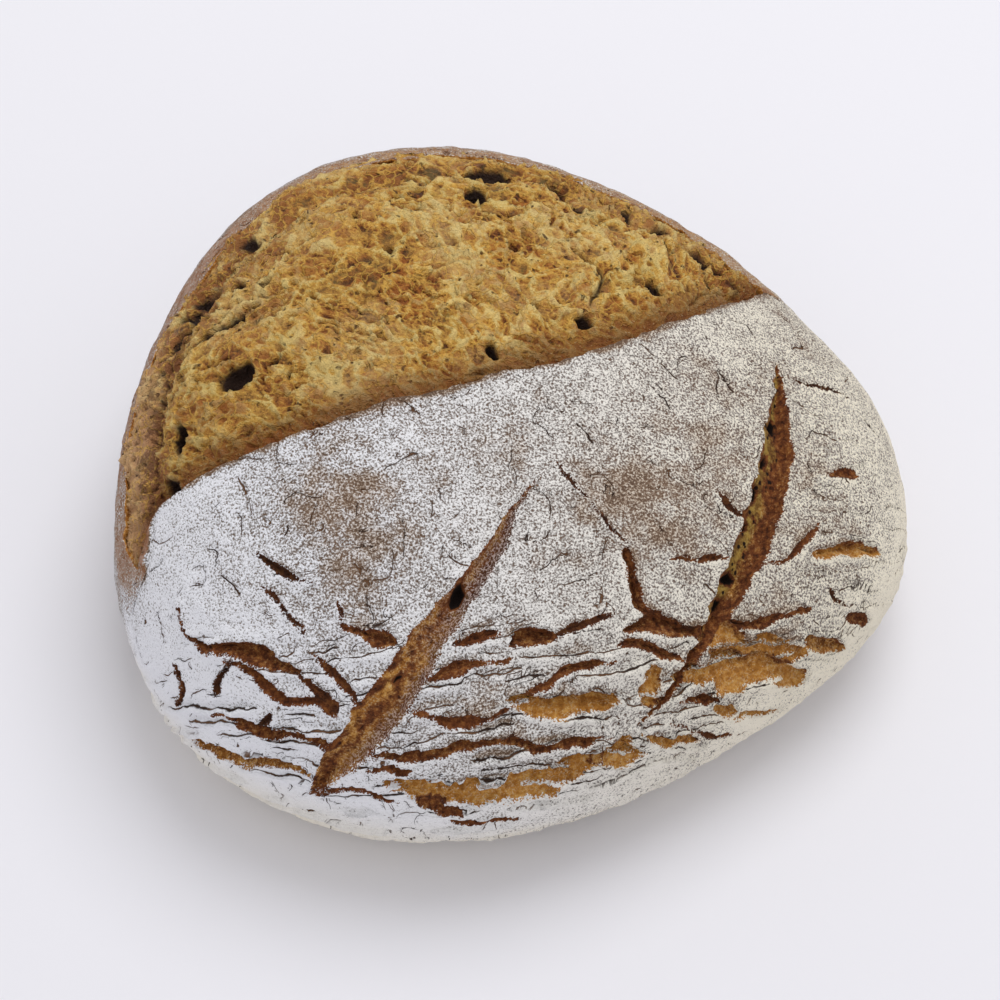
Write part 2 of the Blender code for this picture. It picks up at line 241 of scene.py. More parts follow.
# Where front crust ends and back crust begins: the ear, carried on to both sides
CRUST_DIVIDE = ((-165, -76), (-125, -62), *EAR_LINE, (125, 72), (160, 90))

# Slashes: depth, lean, how dusty the upper half and right side are, how olive the left side is,
# how much painted shade at five places from left to right, then points with the half width there
ACROSS_STOPS = (-1.0, -0.72, -0.1, 0.45, 1.0)
SLASHES = (
    (2.6, 0.45, 0.9, 0.0, (0.98, 0.35, 0.88, 0.62, 0.15),
     ((13, -40, 0.4), (5, -53, 1.7), (-1, -64, 3.0), (-9, -73, 3.6), (-16, -82, 4.6),
      (-22, -91, 5.4), (-31, -101, 6.0), (-41, -110, 5.4), (-50, -117, 3.8), (-59, -124, 0.5))),
    (3.4, 0.55, 0.0, 0.8, (0.90, 0.25, 0.50, 0.98, 0.85),
     ((77, 15, 0.3), (75.3, 5, 1.8), (74, -6, 4.0), (73.5, -18, 4.6), (73, -32, 4.8), (72.3, -46, 4.6),
      (70.5, -58, 4.0), (68, -70, 3.2), (66, -79, 2.2), (62, -87, 1.6), (57, -98, 1.7), (49.5, -109, 0.6))),
)

# Wide tears and lens-shaped openings: half width, depth, lean, points
TEARS = (
    (4.4, 2.6, 0.7, ((-34, -122), (-18, -127), (0, -128), (18, -127), (34, -122), (48, -113))),
    (2.6, 2.0, 0.6, ((34, -123), (46, -121), (57, -119))),
    (1.6, 1.6, 0.6, ((-24, -130), (-17, -133), (-9, -136))),
    (1.3, 1.8, 0.6, ((-36, -113), (-22, -114), (-10, -113), (3, -111.5), (14, -115.5), (28, -114.5),
                     (41, -113))),
    (2.9, 2.4, 0.8, ((4, -100.5), (17, -103), (30, -102.5), (41, -101.5))),
    (1.0, 1.5, 0.6, ((-22, -101), (-14, -105), (-6, -106), (6, -103.5))),
    (1.1, 1.6, 0.7, ((10, -99), (17, -96.5), (23, -93), (38, -90))),
    (1.2, 1.8, 0.6, ((-17, -94), (-10, -91.5), (-2, -90), (6, -89))),
    (0.9, 1.5, 0.6, ((-10, -85), (-3, -83), (3, -82))),
    (1.7, 3.2, 0.5, ((5, -85), (12, -84), (19, -83))),
    (0.7, 1.4, 0.6, ((19, -83), (28, -80), (36, -76))),
    (1.0, 1.8, 0.6, ((-59, -124.5), (-49, -123.5), (-40, -125), (-30, -130))),
    (0.9, 2.0, 0.6, ((-38, -117), (-31, -118), (-24, -119))),
    (1.0, 1.2, 0.5, ((-14, -139.5), (-4, -141), (11, -142))),
    (0.5, 1.2, 0.0, ((19, -35), (25, -41), (31, -48), (39, -56))),
    (1.3, 3.2, -0.4, ((38.5, -57), (41, -64), (43, -71), (47, -75))),
    (1.4, 1.8, 0.5, ((46, -75), (54, -76), (66, -76))),
    (1.7, 1.8, 0.6, ((40, -81), (48, -77.8), (57, -77), (66, -77.5))),
    (1.1, 1.7, 0.6, ((38, -85.5), (44, -83.5), (52, -85.5), (60, -86.5))),
    (5.0, 1.6, -0.3, ((50, -89), (51, -95), (50, -103))),
    (0.8, 1.6, 0.5, ((51, -58), (57, -55), (66, -51))),
    (0.7, 1.2, 0.5, ((60, -32), (68, -37))),
    (1.5, 1.6, 0.5, ((71, -70), (79, -69), (88, -63), (96, -57))),
    (5.8, 1.6, 0.4, ((60, -76), (76, -77.5), (88, -76), (103, -72))),
    (5.4, 2.2, 0.7, ((57, -92), (70, -88), (82, -86), (96, -83.5), (112, -81))),
    (1.0, 2.6, 0.5, ((62, -99.5), (69, -97), (78, -96.5))),
    (2.8, 2.2, 0.7, ((77, -99.5), (87, -100.5), (100, -98.5), (111, -95))),
    (2.3, 2.0, 0.7, ((51, -111.5), (60, -114), (68, -113), (78, -113.5))),
    (0.8, 1.6, 0.5, ((61, -107.5), (72, -109), (82, -110.5), (93, -109))),
    (2.3, 2.2, 0.7, ((89, -42), (96, -37.5), (104, -34.5), (114, -32))),
    (1.0, 1.8, 0.5, ((76, -49), (82.5, -45.5), (86, -38), (89, -31))),
    (1.7, 1.5, 0.5, ((88, -17), (94, -14.5), (100, -13))),
    (0.6, 1.3, 0.4, ((81, 10.5), (90, 13.2), (100, 14.5))),
    (1.4, 1.6, 0.5, ((110, -56), (116, -55), (123, -53))),
    (2.1, 1.9, 0.6, ((99, -67.5), (108, -68), (120, -64.5))),
    (0.6, 1.3, 0.4, ((98, -50), (104, -52.5), (112, -51.5))),
    (1.7, 2.4, 0.8, ((-78, -77.5), (-70, -79.5), (-61, -83.5), (-52, -88))),
    (0.8, 1.8, 0.5, ((-53, -88), (-48, -94), (-42, -99.5))),
    (0.9, 1.8, 0.6, ((-74, -81), (-65, -87.5), (-58, -94.5), (-49, -96.5), (-43, -101))),
    (0.8, 1.8, 0.6, ((-48, -84), (-42, -91), (-36, -98.5))),
    (1.7, 2.2, 0.8, ((-40, -77), (-35, -79.5), (-25, -83.5))),
    (0.7, 1.5, 0.4, ((-40.5, -70.5), (-39, -77))),
    (0.7, 1.6, 0.5, ((-60, -65), (-54, -72), (-49.5, -79))),
    (0.6, 1.4, 0.5, ((-61, -56), (-55, -61.5), (-46, -66))),
    (0.9, 1.9, 0.5, ((-87, -65), (-87, -71), (-81, -77), (-76, -78))),
    (0.7, 1.5, 0.5, ((-81, -89.5), (-75, -84.5), (-71, -82))),
    (1.5, 2.2, 0.7, ((-84, -94.5), (-76, -97.5), (-66, -103.5), (-55, -105.5), (-47, -110))),
    (0.6, 1.4, 0.4, ((-68, -101), (-63, -98.5))),
    (2.1, 2.3, 0.7, ((-101, -100), (-90, -106), (-78, -110), (-65, -112.5), (-56, -118.5))),
    (0.8, 1.6, 0.5, ((-94, -78.5), (-93, -85), (-96.5, -88), (-102, -89))),
    (2.6, 2.2, 0.6, ((-72, 112), (-50, 122), (-24, 128))),
    (2.2, 2.0, 0.6, ((10, 122), (34, 120), (56, 110))),
    (2.4, 2.0, 0.6, ((98, 92), (112, 76), (122, 56))),
    (2.4, 2.0, 0.6, ((-130, 40), (-122, 58), (-108, 76))),
    (1.8, 1.8, 0.6, ((-148, -18), (-150, 4), (-147, 26))),
    (1.0, 1.6, 0.5, ((-92, 104), (-78, 122), (-58, 134))),
    (0.9, 1.5, 0.5, ((66, 122), (84, 112), (100, 104))),
)

# Small holes that opened in the slashes: middle (p, q), half length, half width, turn, depth
POCKETS = (
    (-9.0, -71.8, 4.0, 2.2, 64, 3.2), (-26, -93, 2.0, 1.0, 50, 1.6), (73.0, -5.5, 2.8, 2.0, 80, 2.8),
    (71.6, -17, 1.9, 1.4, 80, 2.4), (70.6, -28, 2.6, 1.7, 85, 3.0), (70.2, -39, 2.4, 1.5, 80, 2.6),
    (70.2, -57, 2.3, 1.8, 80, 3.0), (68.4, -67, 3.0, 1.7, 75, 2.6), (74, -24, 1.1, 0.8, 0, 1.4),
    (72.5, -35, 0.9, 0.9, 0, 1.2), (73.5, -47, 0.9, 0.7, 0, 1.2), (71, -50, 0.9, 0.7, 0, 1.2),
    (-38, -106, 1.3, 0.8, 40, 1.4),
)

# Hairline cracks round the middle of the front and below the ear
HAIRLINES = (
    ((38, 9), (44, 2), (47, 0)), ((40, -3), (45, -10)), ((-9, -14), (-7, -19)), ((-66, -36), (-63, -41)),
    ((62, -61), (67, -65)), ((-35, -61), (-31, -68)), ((98, -60.5), (102, -62)), ((-12, -60), (-3, -66)),
    ((14, -66), (23, -61)), ((-98, -64), (-96, -73)), ((20, -70), (31, -66)), ((84, -3), (93, -4)),
    ((-72, -60), (-66, -66)), ((84, 24), (90, 30)), ((58, 6), (62, 0)), ((24, -20), (29, -26)),
)
print(len(SLASHES), "slashes,", len(TEARS), "tears and", len(HAIRLINES), "hairline cracks")

# %% [markdown]
# ## The height of the crust
#
# Everything that makes the crust stand off the plain body is added up here: slow swells, flaps
# low on the front where the skin wrinkled and cracked as it dried, the lifted ear, and the
# openings. Tear edges are ragged, so the chart is first shaken a little before distances are
# taken, and strands of floured skin are left across the widest tears. The same sums give the
# colour its guides: how far a place is from the nearest torn edge or crack, how much painted shade,
# dust or olive the crumb gets there, and how much whiter or greyer the flour is painted where flap
# and tear edges would catch the light or lie in shade.

# %%
# Crust height and the guides for its colour
# Slow swells
SWELL_SIZE, SWELL_HEIGHT = 42.0, 1.6
# Two sets of flaps of skin: width, height of the raised edge, length of a crack, and seed
FLAPS = ((6.8, 1.7, 15.0, 7), (3.6, 0.8, 9.0, 17))
# How far a flap rises from its crack, how sharply it turns there, how far the cracks wander, and
# how strongly painted light and shade on flap and tear edges, and the bare ear edge, change the flour
FLAP_REACH, FLAP_TURN, FLAP_WANDER, PAINTED_LIGHT_AND_BARE = 2.2, 0.6, 3.4, 0.42
# Short cracks all over the front: size of the plates between them, seed, and how many there are
CRAZING = ((10.0, 201, -0.05), (5.0, 211, 0.03))
# The greatest distance to a crack that is kept, and how deep a crack is
CRACK_FAR, CRACK_GROOVE = 2.0, 0.5
# How unevenly an opening widens along its length
UNEVEN_LENGTH, UNEVEN_SHARE = 9.0, 0.60
# How far the crumb's colours reach past an opening's edge: none at the first, full at the second
OPENING_REACH = (1.4, 0.7)
# The lifted ear, how far its bare edge reaches, and the lip
EAR_LIFT, EAR_REACH, EAR_BARE_REACH, LIP_LIFT = 2.6, 13.0, 0.9, 0.6
# How far the walls of the openings slope, and the small lip along them
SLASH_WALL, TEAR_WALL, TORN_LIP, TORN_LIP_SPREAD = 2.0, 1.2, 0.6, 1.5
# How the chart is shaken, how much wider narrow tears are drawn, and from what half width strands
# cross a tear
RAGGED_SIZE, RAGGED_REACH, NARROW_BOLDER, WIDE_TEAR = 4.5, 0.7, 0.30, 2.5
# The rough rim behind the bloom
RIM_REACH, RIM_ROUGH_SIZE, RIM_ROUGH = 15.0, 5.5, 0.8
# How slowly front crust turns into back crust beyond the ends of the ear
BLEND_REACH = 22.0
# Strands of floured skin left across the wide tears: spacing and half width
STRAND_SPACING, STRAND_HALF_WIDTH = 5.2, 0.7
FAR_AWAY = 30.0
# Moves a noise between one flap and the next, so that each has its own
FLAP_SHIFT = 37.7


def fold_place(p, q):
    """Where the front crust wrinkled: low down, and on the right."""
    low_front = smoothstep(-66, -92, q) * smoothstep(174, 150, np.hypot(p, q))
    right_side = smoothstep(74, 96, p) * smoothstep(16, -16, q)
    return np.maximum(low_front, 0.6 * right_side)


def flap_number(p, q, width, seed):
    """Which flap a place lies on: it grows by 1 from each flap to the one above. Flaps run across
    the front, and turn up at both sides."""
    rise = 0.36 * np.maximum(-48 - p, 0) + 0.22 * np.maximum(p - 44, 0) + 0.12 * p * smoothstep(-112, -92, q)
    return (q - rise + FLAP_WANDER * flat_noise(p / 2.6, q, 11, seed)) / width


def zero_line(field, p, q, *rest):
    """Signed distance to where a smooth field is nearest a whole number: its value over its slope."""
    value = field(p, q, *rest)
    slope = np.hypot(field(p + 0.5, q, *rest) - value, field(p, q + 0.5, *rest) - value) * 2
    nearest = np.round(value)
    return value - nearest, (value - nearest) / np.maximum(slope, 0.08), nearest


def with_crack(cracks, distance, open_here):
    """Of the cracks so far and one more, the nearest open one: its distance, how open it is and
    a rank that is low for near, open cracks. The new one closes where it comes near an open one."""
    crack, shown, rank = cracks
    open_here = open_here * (1 - shown * smoothstep(2.6, 1.4, np.abs(crack)))
    own_rank = np.abs(distance) + CRACK_FAR * (1 - open_here)
    nearest = own_rank < rank
    return np.where(nearest, distance, crack), np.where(nearest, open_here, shown), np.minimum(own_rank, rank)


def behind_lip(p, q):
    """How near the lip behind the bloom a place on the back crust is, and how much it belongs to
    the back crust. Both go from 0 to 1."""
    lip, _ = nearest_on(curve_through(LIP_LINE, 60), p, q)
    divide, _ = nearest_on(curve_through(CRUST_DIVIDE, 60), p, q)
    blend = 0.2 + BLEND_REACH * smoothstep(104, 132, np.hypot(p, q))
    return np.exp(-np.abs(lip) / RIM_REACH) * (divide > 0), smoothstep(-blend, blend, divide)


def oval(p, q, middle_p, middle_q, half_length, half_width, turn):
    """Distance outside an oval on the chart, about true near its rim and negative inside."""
    cosine, sine = math.cos(math.radians(turn)), math.sin(math.radians(turn))
    along = (p - middle_p) * cosine + (q - middle_q) * sine
    across = (q - middle_q) * cosine - (p - middle_p) * sine
    return (np.hypot(along / half_length, across / half_width) - 1) * min(half_length, half_width)


def crust_relief(p, q):
    """Height off the plain body in mm, and what the finish needs: signed distances to the nearest
    torn edge and crack, how much painted shade, dust or olive the crumb in an opening gets, the
    flour coat with painted light and shade on flap and tear edges, and how near the lip behind the
    bloom is."""
    ragged_p = p + RAGGED_REACH * octaves(p, q, RAGGED_SIZE, 31)
    ragged_q = q + RAGGED_REACH * octaves(p, q, RAGGED_SIZE, 41)
    near_lip, _ = behind_lip(p, q)
    p, q = ragged_p, ragged_q
    height = SWELL_HEIGHT * noise(body(p, q), SWELL_SIZE, 3)
    height = height + 0.22 * octaves(p, q, 7.0, 51) + RIM_ROUGH * near_lip * octaves(p, q, RIM_ROUGH_SIZE, 55)
    ear, along_ear = nearest_on(curve_through(EAR_LINE, 60), p, q)
    crest = np.sin(math.pi * np.clip(along_ear, 0.02, 0.98)) ** 0.5
    height = height + EAR_LIFT * crest * np.exp(-np.abs(ear) / EAR_REACH) + LIP_LIFT * near_lip
    # The ear's torn edge is bare of flour; painted light and shade on flap and tear edges are added to this
    # below
    where, painted_light_and_bare_ear = fold_place(p, q), -1.6 * np.exp(-np.abs(ear) / EAR_BARE_REACH)
    cracks = np.full(p.shape, CRACK_FAR), np.zeros(p.shape), np.full(p.shape, FAR_AWAY)
    for width, rise, length, seed in FLAPS:
        share, valley, number = zero_line(flap_number, p, q, width, seed)
        open_here = smoothstep(-0.15, 0.25, flat_noise(p, FLAP_SHIFT * number, length, seed + 50)) * where
        side = 0.2 - 0.8 * np.tanh(valley / FLAP_TURN)
        raised = side * (1 - (2 * share) ** 2) * np.exp(-np.abs(valley) / FLAP_REACH) * open_here
        height = height + rise * raised * (1 - 0.5 * smoothstep(70, 100, p))
        # Painted light and shade: the raised edge of a flap is painted whiter, as if lit, and the side above
        # its crack greyer, as if in shade
        painted_light_and_bare_ear = painted_light_and_bare_ear + raised
        open_here = open_here * smoothstep(146, 130, np.hypot(p, q))
        cracks = with_crack(cracks, valley / (0.30 + 0.80 * open_here ** 2), open_here)
    for size, seed, share in CRAZING:
        _, valley, _ = zero_line(flat_noise, p, q, size, seed)
        open_here = smoothstep(share + 0.12, share - 0.12, -flat_noise(p, q, size * 0.8, seed + 5) + 0.45)
        cracks = with_crack(cracks, valley * 1.7, open_here)
    for points in HAIRLINES:
        offset, place = nearest_on(curve_through(points, 14), p, q)
        cracks = with_crack(cracks, offset, smoothstep(0.0, 0.1, np.minimum(place, 1 - place)) + 0 * p)
    crack, shown = np.clip(cracks[0], -CRACK_FAR, CRACK_FAR), cracks[1]
    edge = np.full(p.shape, FAR_AWAY)
    painted_shade, dust, olive = (np.zeros(p.shape) for _ in range(3))
    uneven = 1 + UNEVEN_SHARE * octaves(p, q, UNEVEN_LENGTH, 59)
    _, line, number = zero_line(flap_number, p, q, STRAND_SPACING, 27)
    kept = smoothstep(-0.1, 0.2, flat_noise(p, FLAP_SHIFT * number, 8, 77))
    strand = STRAND_HALF_WIDTH * kept - np.abs(line) - 0.1
    for depth, lean, dusty, pale, shades, points in SLASHES:
        spine = curve_through(points, 40)
        offset, place = nearest_on(spine, p, q)
        half_width = np.interp(place, np.linspace(0, 1, len(spine)), spine[:, 2])
        outside, across = np.abs(offset) - half_width, np.clip(offset / half_width, -1.2, 1.2)
        inside, within = smoothstep(0, SLASH_WALL, -outside), smoothstep(*OPENING_REACH, outside)
        height = height * (1 - 0.7 * inside) - depth * inside * np.clip(1 + lean * across, 0.15, 1.8)
        height = height + TORN_LIP * np.exp(-((outside / TORN_LIP_SPREAD) ** 2)) * (outside > 0)
        edge = np.minimum(edge, outside * np.where(across > 0, 1.3 - 1.0 * dusty, 1.3))
        # Painted shade on the crumb across the slash, as if its steep wall and edges lay in shadow
        shaded = np.interp(across + 0.5 * octaves(p, q, 6.0, 63), ACROSS_STOPS, shades)
        painted_shade = np.maximum(painted_shade, within * shaded)
        upper = smoothstep(0.60, 0.30, place) * (0.45 + 0.55 * smoothstep(-0.6, 0.2, across))
        right = smoothstep(0.15, 0.75, across) * smoothstep(0.98, 0.75, place)
        dust = np.maximum(dust, dusty * np.maximum(upper, 0.8 * right) * within)
        left = smoothstep(0.55, 0.0, across) * smoothstep(0.85, 0.6, place)
        olive = np.maximum(olive, pale * left * within)
        shown = shown * smoothstep(0.0, 0.6, outside)
    for widest, depth, lean, points in TEARS:
        offset, place = nearest_on(curve_through(points, 18), p, q)
        half_width = widest * uneven * (4 * place * (1 - place)) ** 0.55
        outside = np.abs(offset) - half_width
        across = np.clip(offset / np.maximum(half_width, 0.3), -1.2, 1.2)
        inside, within = smoothstep(0, TEAR_WALL, -outside), smoothstep(*OPENING_REACH, outside)
        if widest > WIDE_TEAR:
            inside = inside * (1 - 0.7 * smoothstep(-0.3, 0.3, strand))
        height = height * (1 - 0.6 * inside) - depth * inside * np.clip(1 + lean * across, 0.15, 1.8)
        height = height + TORN_LIP * np.exp(-((outside / TORN_LIP_SPREAD) ** 2)) * (outside > 0)
        # The upper edge is crisp and painted in shade, and flour drifts over the lower one, which is also
        # painted lighter as if lit
        narrow = 1.0 - smoothstep(1.6, 2.8, widest)
        own_edge = outside * np.where(across < 0, 0.55 + 0.25 * narrow, 1.3) - NARROW_BOLDER * narrow
        edge = np.minimum(edge, np.maximum(own_edge, strand) if widest > WIDE_TEAR else own_edge)
        shaded = (0.75 + 0.75 * narrow) * smoothstep(0.25, 1.1, across + 0.4 * octaves(p, q, 6.0, 63))
        # Narrow tears are painted dark all through, as shade in a deep crack
        shaded = np.maximum(0.84 * narrow + 0.7 * smoothstep(1.2, 0.6, widest), shaded)
        shown = shown * smoothstep(0.0, 0.6, outside)
        painted_shade = np.maximum(painted_shade, within * shaded)
        # Painted light and shade: the flour just below a tear is painted whiter, as if its edge caught the
        # light, and just above it greyer, as if in shade
        rim_lit = np.where(across < 0, 1.0, -0.55) * (outside > 0) * np.minimum(half_width, 1)
        rim_lit = rim_lit * smoothstep(0, 0.08, 4 * place * (1 - place))
        painted_light_and_bare_ear = painted_light_and_bare_ear + rim_lit * np.exp(-((outside / TORN_LIP_SPREAD) ** 2))
    for *shape, depth in POCKETS:
        rim = oval(p, q, *shape)
        height = height - depth * smoothstep(0.1, -1.2, rim)
        # The holes are painted near black, as shade
        painted_shade = np.maximum(painted_shade, 2 * smoothstep(0.4, -0.6, rim))
    height = height - CRACK_GROOVE * shown * smoothstep(0.9, 0.0, np.abs(crack))
    # The flour coat carries painted light and shade: whiter on flap and tear edges that would catch the
    # light, greyer just above their cracks, thinner on the ear's bare edge
    looks = {
        "flour": flour_coat(p, q, height) + PAINTED_LIGHT_AND_BARE * painted_light_and_bare_ear, "torn": edge, "painted_shade": painted_shade, "dust": dust,
        "olive": olive, "rim": near_lip, "crack": crack,
        "near_crack": shown * smoothstep(1.4, 0.7, np.abs(crack)),
    }
    return height, looks


# %% [markdown]
# ## How much flour lies where
#
# The loaf was dusted before it was slashed. The coat is thick on the left and low down, rubbed
# thin in a few patches in the middle, and thin again behind the bloom, where the crust was
# under the fold. It is a little thicker where the crust stands higher and leaves the underside
# nearly bare. The whiter raised edges of the flaps and tears, and the greyer shade just above
# their cracks, are painted light and shade added to this coat.

# %%
# The flour coat, from 0 for none to 1 for thick

# Patches rubbed thin: middle (p, q), reach along p and q, how much thinner
THIN_PATCHES = ((-38, -48, 15, 13, 0.27), (-32, -68, 9, 10, 0.22), (38, -40, 17, 15, 0.25),
                (-8, -108, 22, 10, 0.08), (86, -30, 16, 22, 0.10), (60, -20, 10, 22, 0.08),
                (96, -70, 24, 16, 0.12), (-60, -96, 12, 8, 0.08), (10, -60, 18, 12, 0.08))
FRONT_FLOUR, BACK_FLOUR, SOLE_FLOUR, RIM_FLOUR = 0.50, 0.38, 0.25, 0.08
# How much the front's coat changes: at the left, right of the middle, at the far right and low
LEFT_MORE, RIGHT_LESS, FAR_RIGHT_MORE, LOW_MORE = 0.35, 0.06, 0.16, 0.36


def flour_coat(p, q, height):
    """How thickly flour lies at chart points."""
    near_lip, back = behind_lip(p, q)
    behind = BACK_FLOUR + (RIM_FLOUR - BACK_FLOUR) * smoothstep(0.15, 0.6, near_lip)
    front = FRONT_FLOUR + LEFT_MORE * smoothstep(-70, -125, p + 0.5 * q) - RIGHT_LESS * smoothstep(10, 50, p)
    front = front + FAR_RIGHT_MORE * smoothstep(80, 110, p)
    front = front + LOW_MORE * smoothstep(114, 138, np.hypot(p, q))
    coat = front + (behind - front) * back
    for middle_p, middle_q, reach_p, reach_q, thinner in THIN_PATCHES:
        coat = coat - thinner * np.exp(-(((p - middle_p) / reach_p) ** 2) - ((q - middle_q) / reach_q) ** 2)
    coat = coat + 0.10 * octaves(p, q, 26, 61) + 0.07 * octaves(p, q, 7, 71) + 0.05 * np.clip(height, -1, 1)
    return coat + (SOLE_FLOUR - coat) * smoothstep(CHART_RADIUS - 14, CHART_RADIUS, np.hypot(p, q))


# %% [markdown]
# ## Shells from rings
#
# Both pieces are closed skins made of rings of points, with a single point at each end, like
# the lines of latitude and the poles of a globe.

# %%
# Building a closed mesh from rings


def shell_faces(rings, around):
    """Quads between neighbouring rings, each ring closing on itself, and a fan at each end. The
    two end points come after all the rings."""
    index = np.arange(rings * around).reshape(rings, around)
    index = np.hstack([index, index[:, :1]])
    quads = np.stack([index[:-1, :-1], index[:-1, 1:], index[1:, 1:], index[1:, :-1]], axis=-1).reshape(-1, 4)
    first, last = rings * around, rings * around + 1
    caps = [np.stack([np.full(around, first), index[0, 1:], index[0, :-1]], axis=1),
            np.stack([np.full(around, last), index[-1, :-1], index[-1, 1:]], axis=1)]
    return quads, np.vstack(caps)


def enclosed_volume(points, triangles):
    """Volume inside closed triangles: a sixth of each corner product, added up."""
    a, b, c = (points[triangles[:, k]] for k in range(3))
    return float(np.einsum("ij,ij->i", a, np.cross(b, c)).sum() / 6)


def shell_object(name, rings, ends, fields):
    """Makes a closed mesh object in metres from rings of points and its two end points, with
    one stored value a point for each named field."""
    count, around = rings.shape[:2]
    points = np.vstack([rings.reshape(-1, 3), ends])
    quads, fans = shell_faces(count, around)
    triangles = np.vstack([quads[:, [0, 1, 2]], quads[:, [0, 2, 3]], fans])
    volume = enclosed_volume(points, triangles)
    if volume < 0:
        quads, fans = quads[:, ::-1], fans[:, ::-1]
    mesh = bpy.data.meshes.new(name)
    mesh.from_pydata((points * MM).tolist(), [], quads.tolist() + fans.tolist())
    for key, values in fields.items():
        stored = mesh.attributes.new(key, "FLOAT", "POINT")
        stored.data.foreach_set("value", np.ravel(values).astype(np.float32))
    mesh.shade_smooth()
    made = bpy.data.objects.new(name, mesh)
    bpy.context.scene.collection.objects.link(made)
    print(name, "has", len(triangles), "triangles and holds", round(abs(volume) / 1e6, 2), "litres")
    return made


# %% [markdown]
# ## The crust
#
# The rings start at the bloom's bed, climb its wall, roll over the torn edge of the ear, and
# run down over the body to the sole. More of the points go to the front, where there is more to
# show. The torn edge hangs a little over the crumb below it.

# %%
# Rings of the crust
FRONT_COLUMNS, BACK_COLUMNS, SKIN_ROWS, SOLE_ROWS = 340, 170, 172, 9
# The torn edge: how far each ring lies towards the crust, and how deep
EDGE_ROLL = ((3.6, 9.0), (2.4, 5.0), (1.3, 2.8), (0.4, 1.5), (-0.2, 0.7), (-0.1, 0.2))
BED_DEPTH = 13.0
# What the finish finds on the wall under the torn edge, and on the sole; the wall is given some painted shade
WALL_AND_SOLE = {"torn": (-3.0, FAR_AWAY), "painted_shade": (0.35, 0.0), "dust": (0.0, 0.0), "olive": (0.0, 0.0),
                 "crack": (CRACK_FAR, CRACK_FAR), "near_crack": (0.0, 0.0), "rim": (0.0, 0.0),
                 "flour": (0.3, SOLE_FLOUR)}
# How far the torn edge wanders, large bites and small ones
EDGE_WANDER = ((9.0, 0.7), (3.0, 0.45), (1.4, 0.25))


def crust_ring_ends():
    """For each column its start on the bloom's edge and its end at the sole, on the chart."""
    ear = curve_through(EAR_LINE, FRONT_COLUMNS + 1)
    lip = curve_through(LIP_LINE, BACK_COLUMNS + 1)
    start = np.vstack([ear, lip[-2:0:-1]])
    left, right = (math.atan2(tip[1], tip[0]) for tip in (ear[0], ear[-1]))
    front = np.linspace(left, right, FRONT_COLUMNS, endpoint=False)
    back = np.linspace(right, left + 2 * math.pi, BACK_COLUMNS, endpoint=False)
    angle = np.concatenate([front, back])
    return start, CHART_RADIUS * np.stack([np.cos(angle), np.sin(angle)], axis=1)


def build_crust():
    """The crust's rings, end points and stored fields."""
    start, end = crust_ring_ends()
    outwards = (end - start) / np.linalg.norm(end - start, axis=1, keepdims=True)
    wander = sum(reach * flat_noise(start[:, 0], start[:, 1], size, 83) for size, reach in EDGE_WANDER)
    start = start + outwards * wander[:, None]
    out = np.linspace(0, 1, SKIN_ROWS)[:, None, None]
    chart = start * (1 - out) + end * out
    p, q = chart[..., 0], chart[..., 1]
    height, looks = crust_relief(p, q)
    plain = body(p, q)
    height = height * smoothstep(0, 9, plain[..., 2])
    skin = on_loaf(p, q, height)
    skin[..., 2] = np.maximum(skin[..., 2], 0)
    skin[-1, :, 2] = 0
    ragged = 1 + 0.5 * flat_noise(start[:, 0], start[:, 1], 5, 81)
    roll = []
    for towards, depth in EDGE_ROLL:
        at = start + outwards * towards
        roll.append(on_loaf(at[:, 0], at[:, 1], height[0] - depth * np.clip(ragged, 0.6, 1.4)))
    shrink = np.linspace(1, 0, SOLE_ROWS + 2)[1:-1, None, None]
    middle = skin[-1].mean(0)
    sole = middle + (skin[-1] - middle) * shrink
    rings = np.vstack([np.array(roll), skin, sole])
    centre = np.array([[-5.0, 12.0]])
    bed = on_loaf(centre[:, 0], centre[:, 1], np.array([-BED_DEPTH]))
    fields = {}
    for name, values in looks.items():
        wall, under = WALL_AND_SOLE[name]
        on_wall = np.full((len(EDGE_ROLL), len(start)), wall)
        on_sole = np.full((SOLE_ROWS, len(start)), under)
        fields[name] = np.concatenate([np.vstack([on_wall, values, on_sole]).ravel(), [wall, under]])
    return rings, np.vstack([bed, middle[None]]), fields


crust_rings, crust_ends, crust_fields = build_crust()

# %% [markdown]
# ## The bloom
#
# The crumb that burst out is all cells and strands. It sinks along the ear, swells into a
# cushion and drops into a furrow of deep crevices before the lip behind. On top of that go crags
# of about a centimetre, torn cells of a few millimetres with thin webs between them, strands
# that were pulled from the ear towards the back, and the large bubbles that opened.

# %%
# Height of the crumb
# The cushion, how far the bloom sinks under its two edges, the furrow, the crags and the rifts
CUSHION_RISE, CUSHION_REACH, BLOOM_SINK, BLOOM_SINK_REACH, BLOOM_BRIM = 3.6, 26.0, 1.8, 7.0, 0.5
FURROW_DEPTH, FURROW_OFFSET, FURROW_WIDTH, FURROW_SHADE = 3.6, 14.0, 5.0, 9.0
CRAG_SIZE, CRAG_HEIGHT = 11.0, 1.5
RIFT_DEPTH, RIFT_HALF_WIDTH = 4.2, 1.7
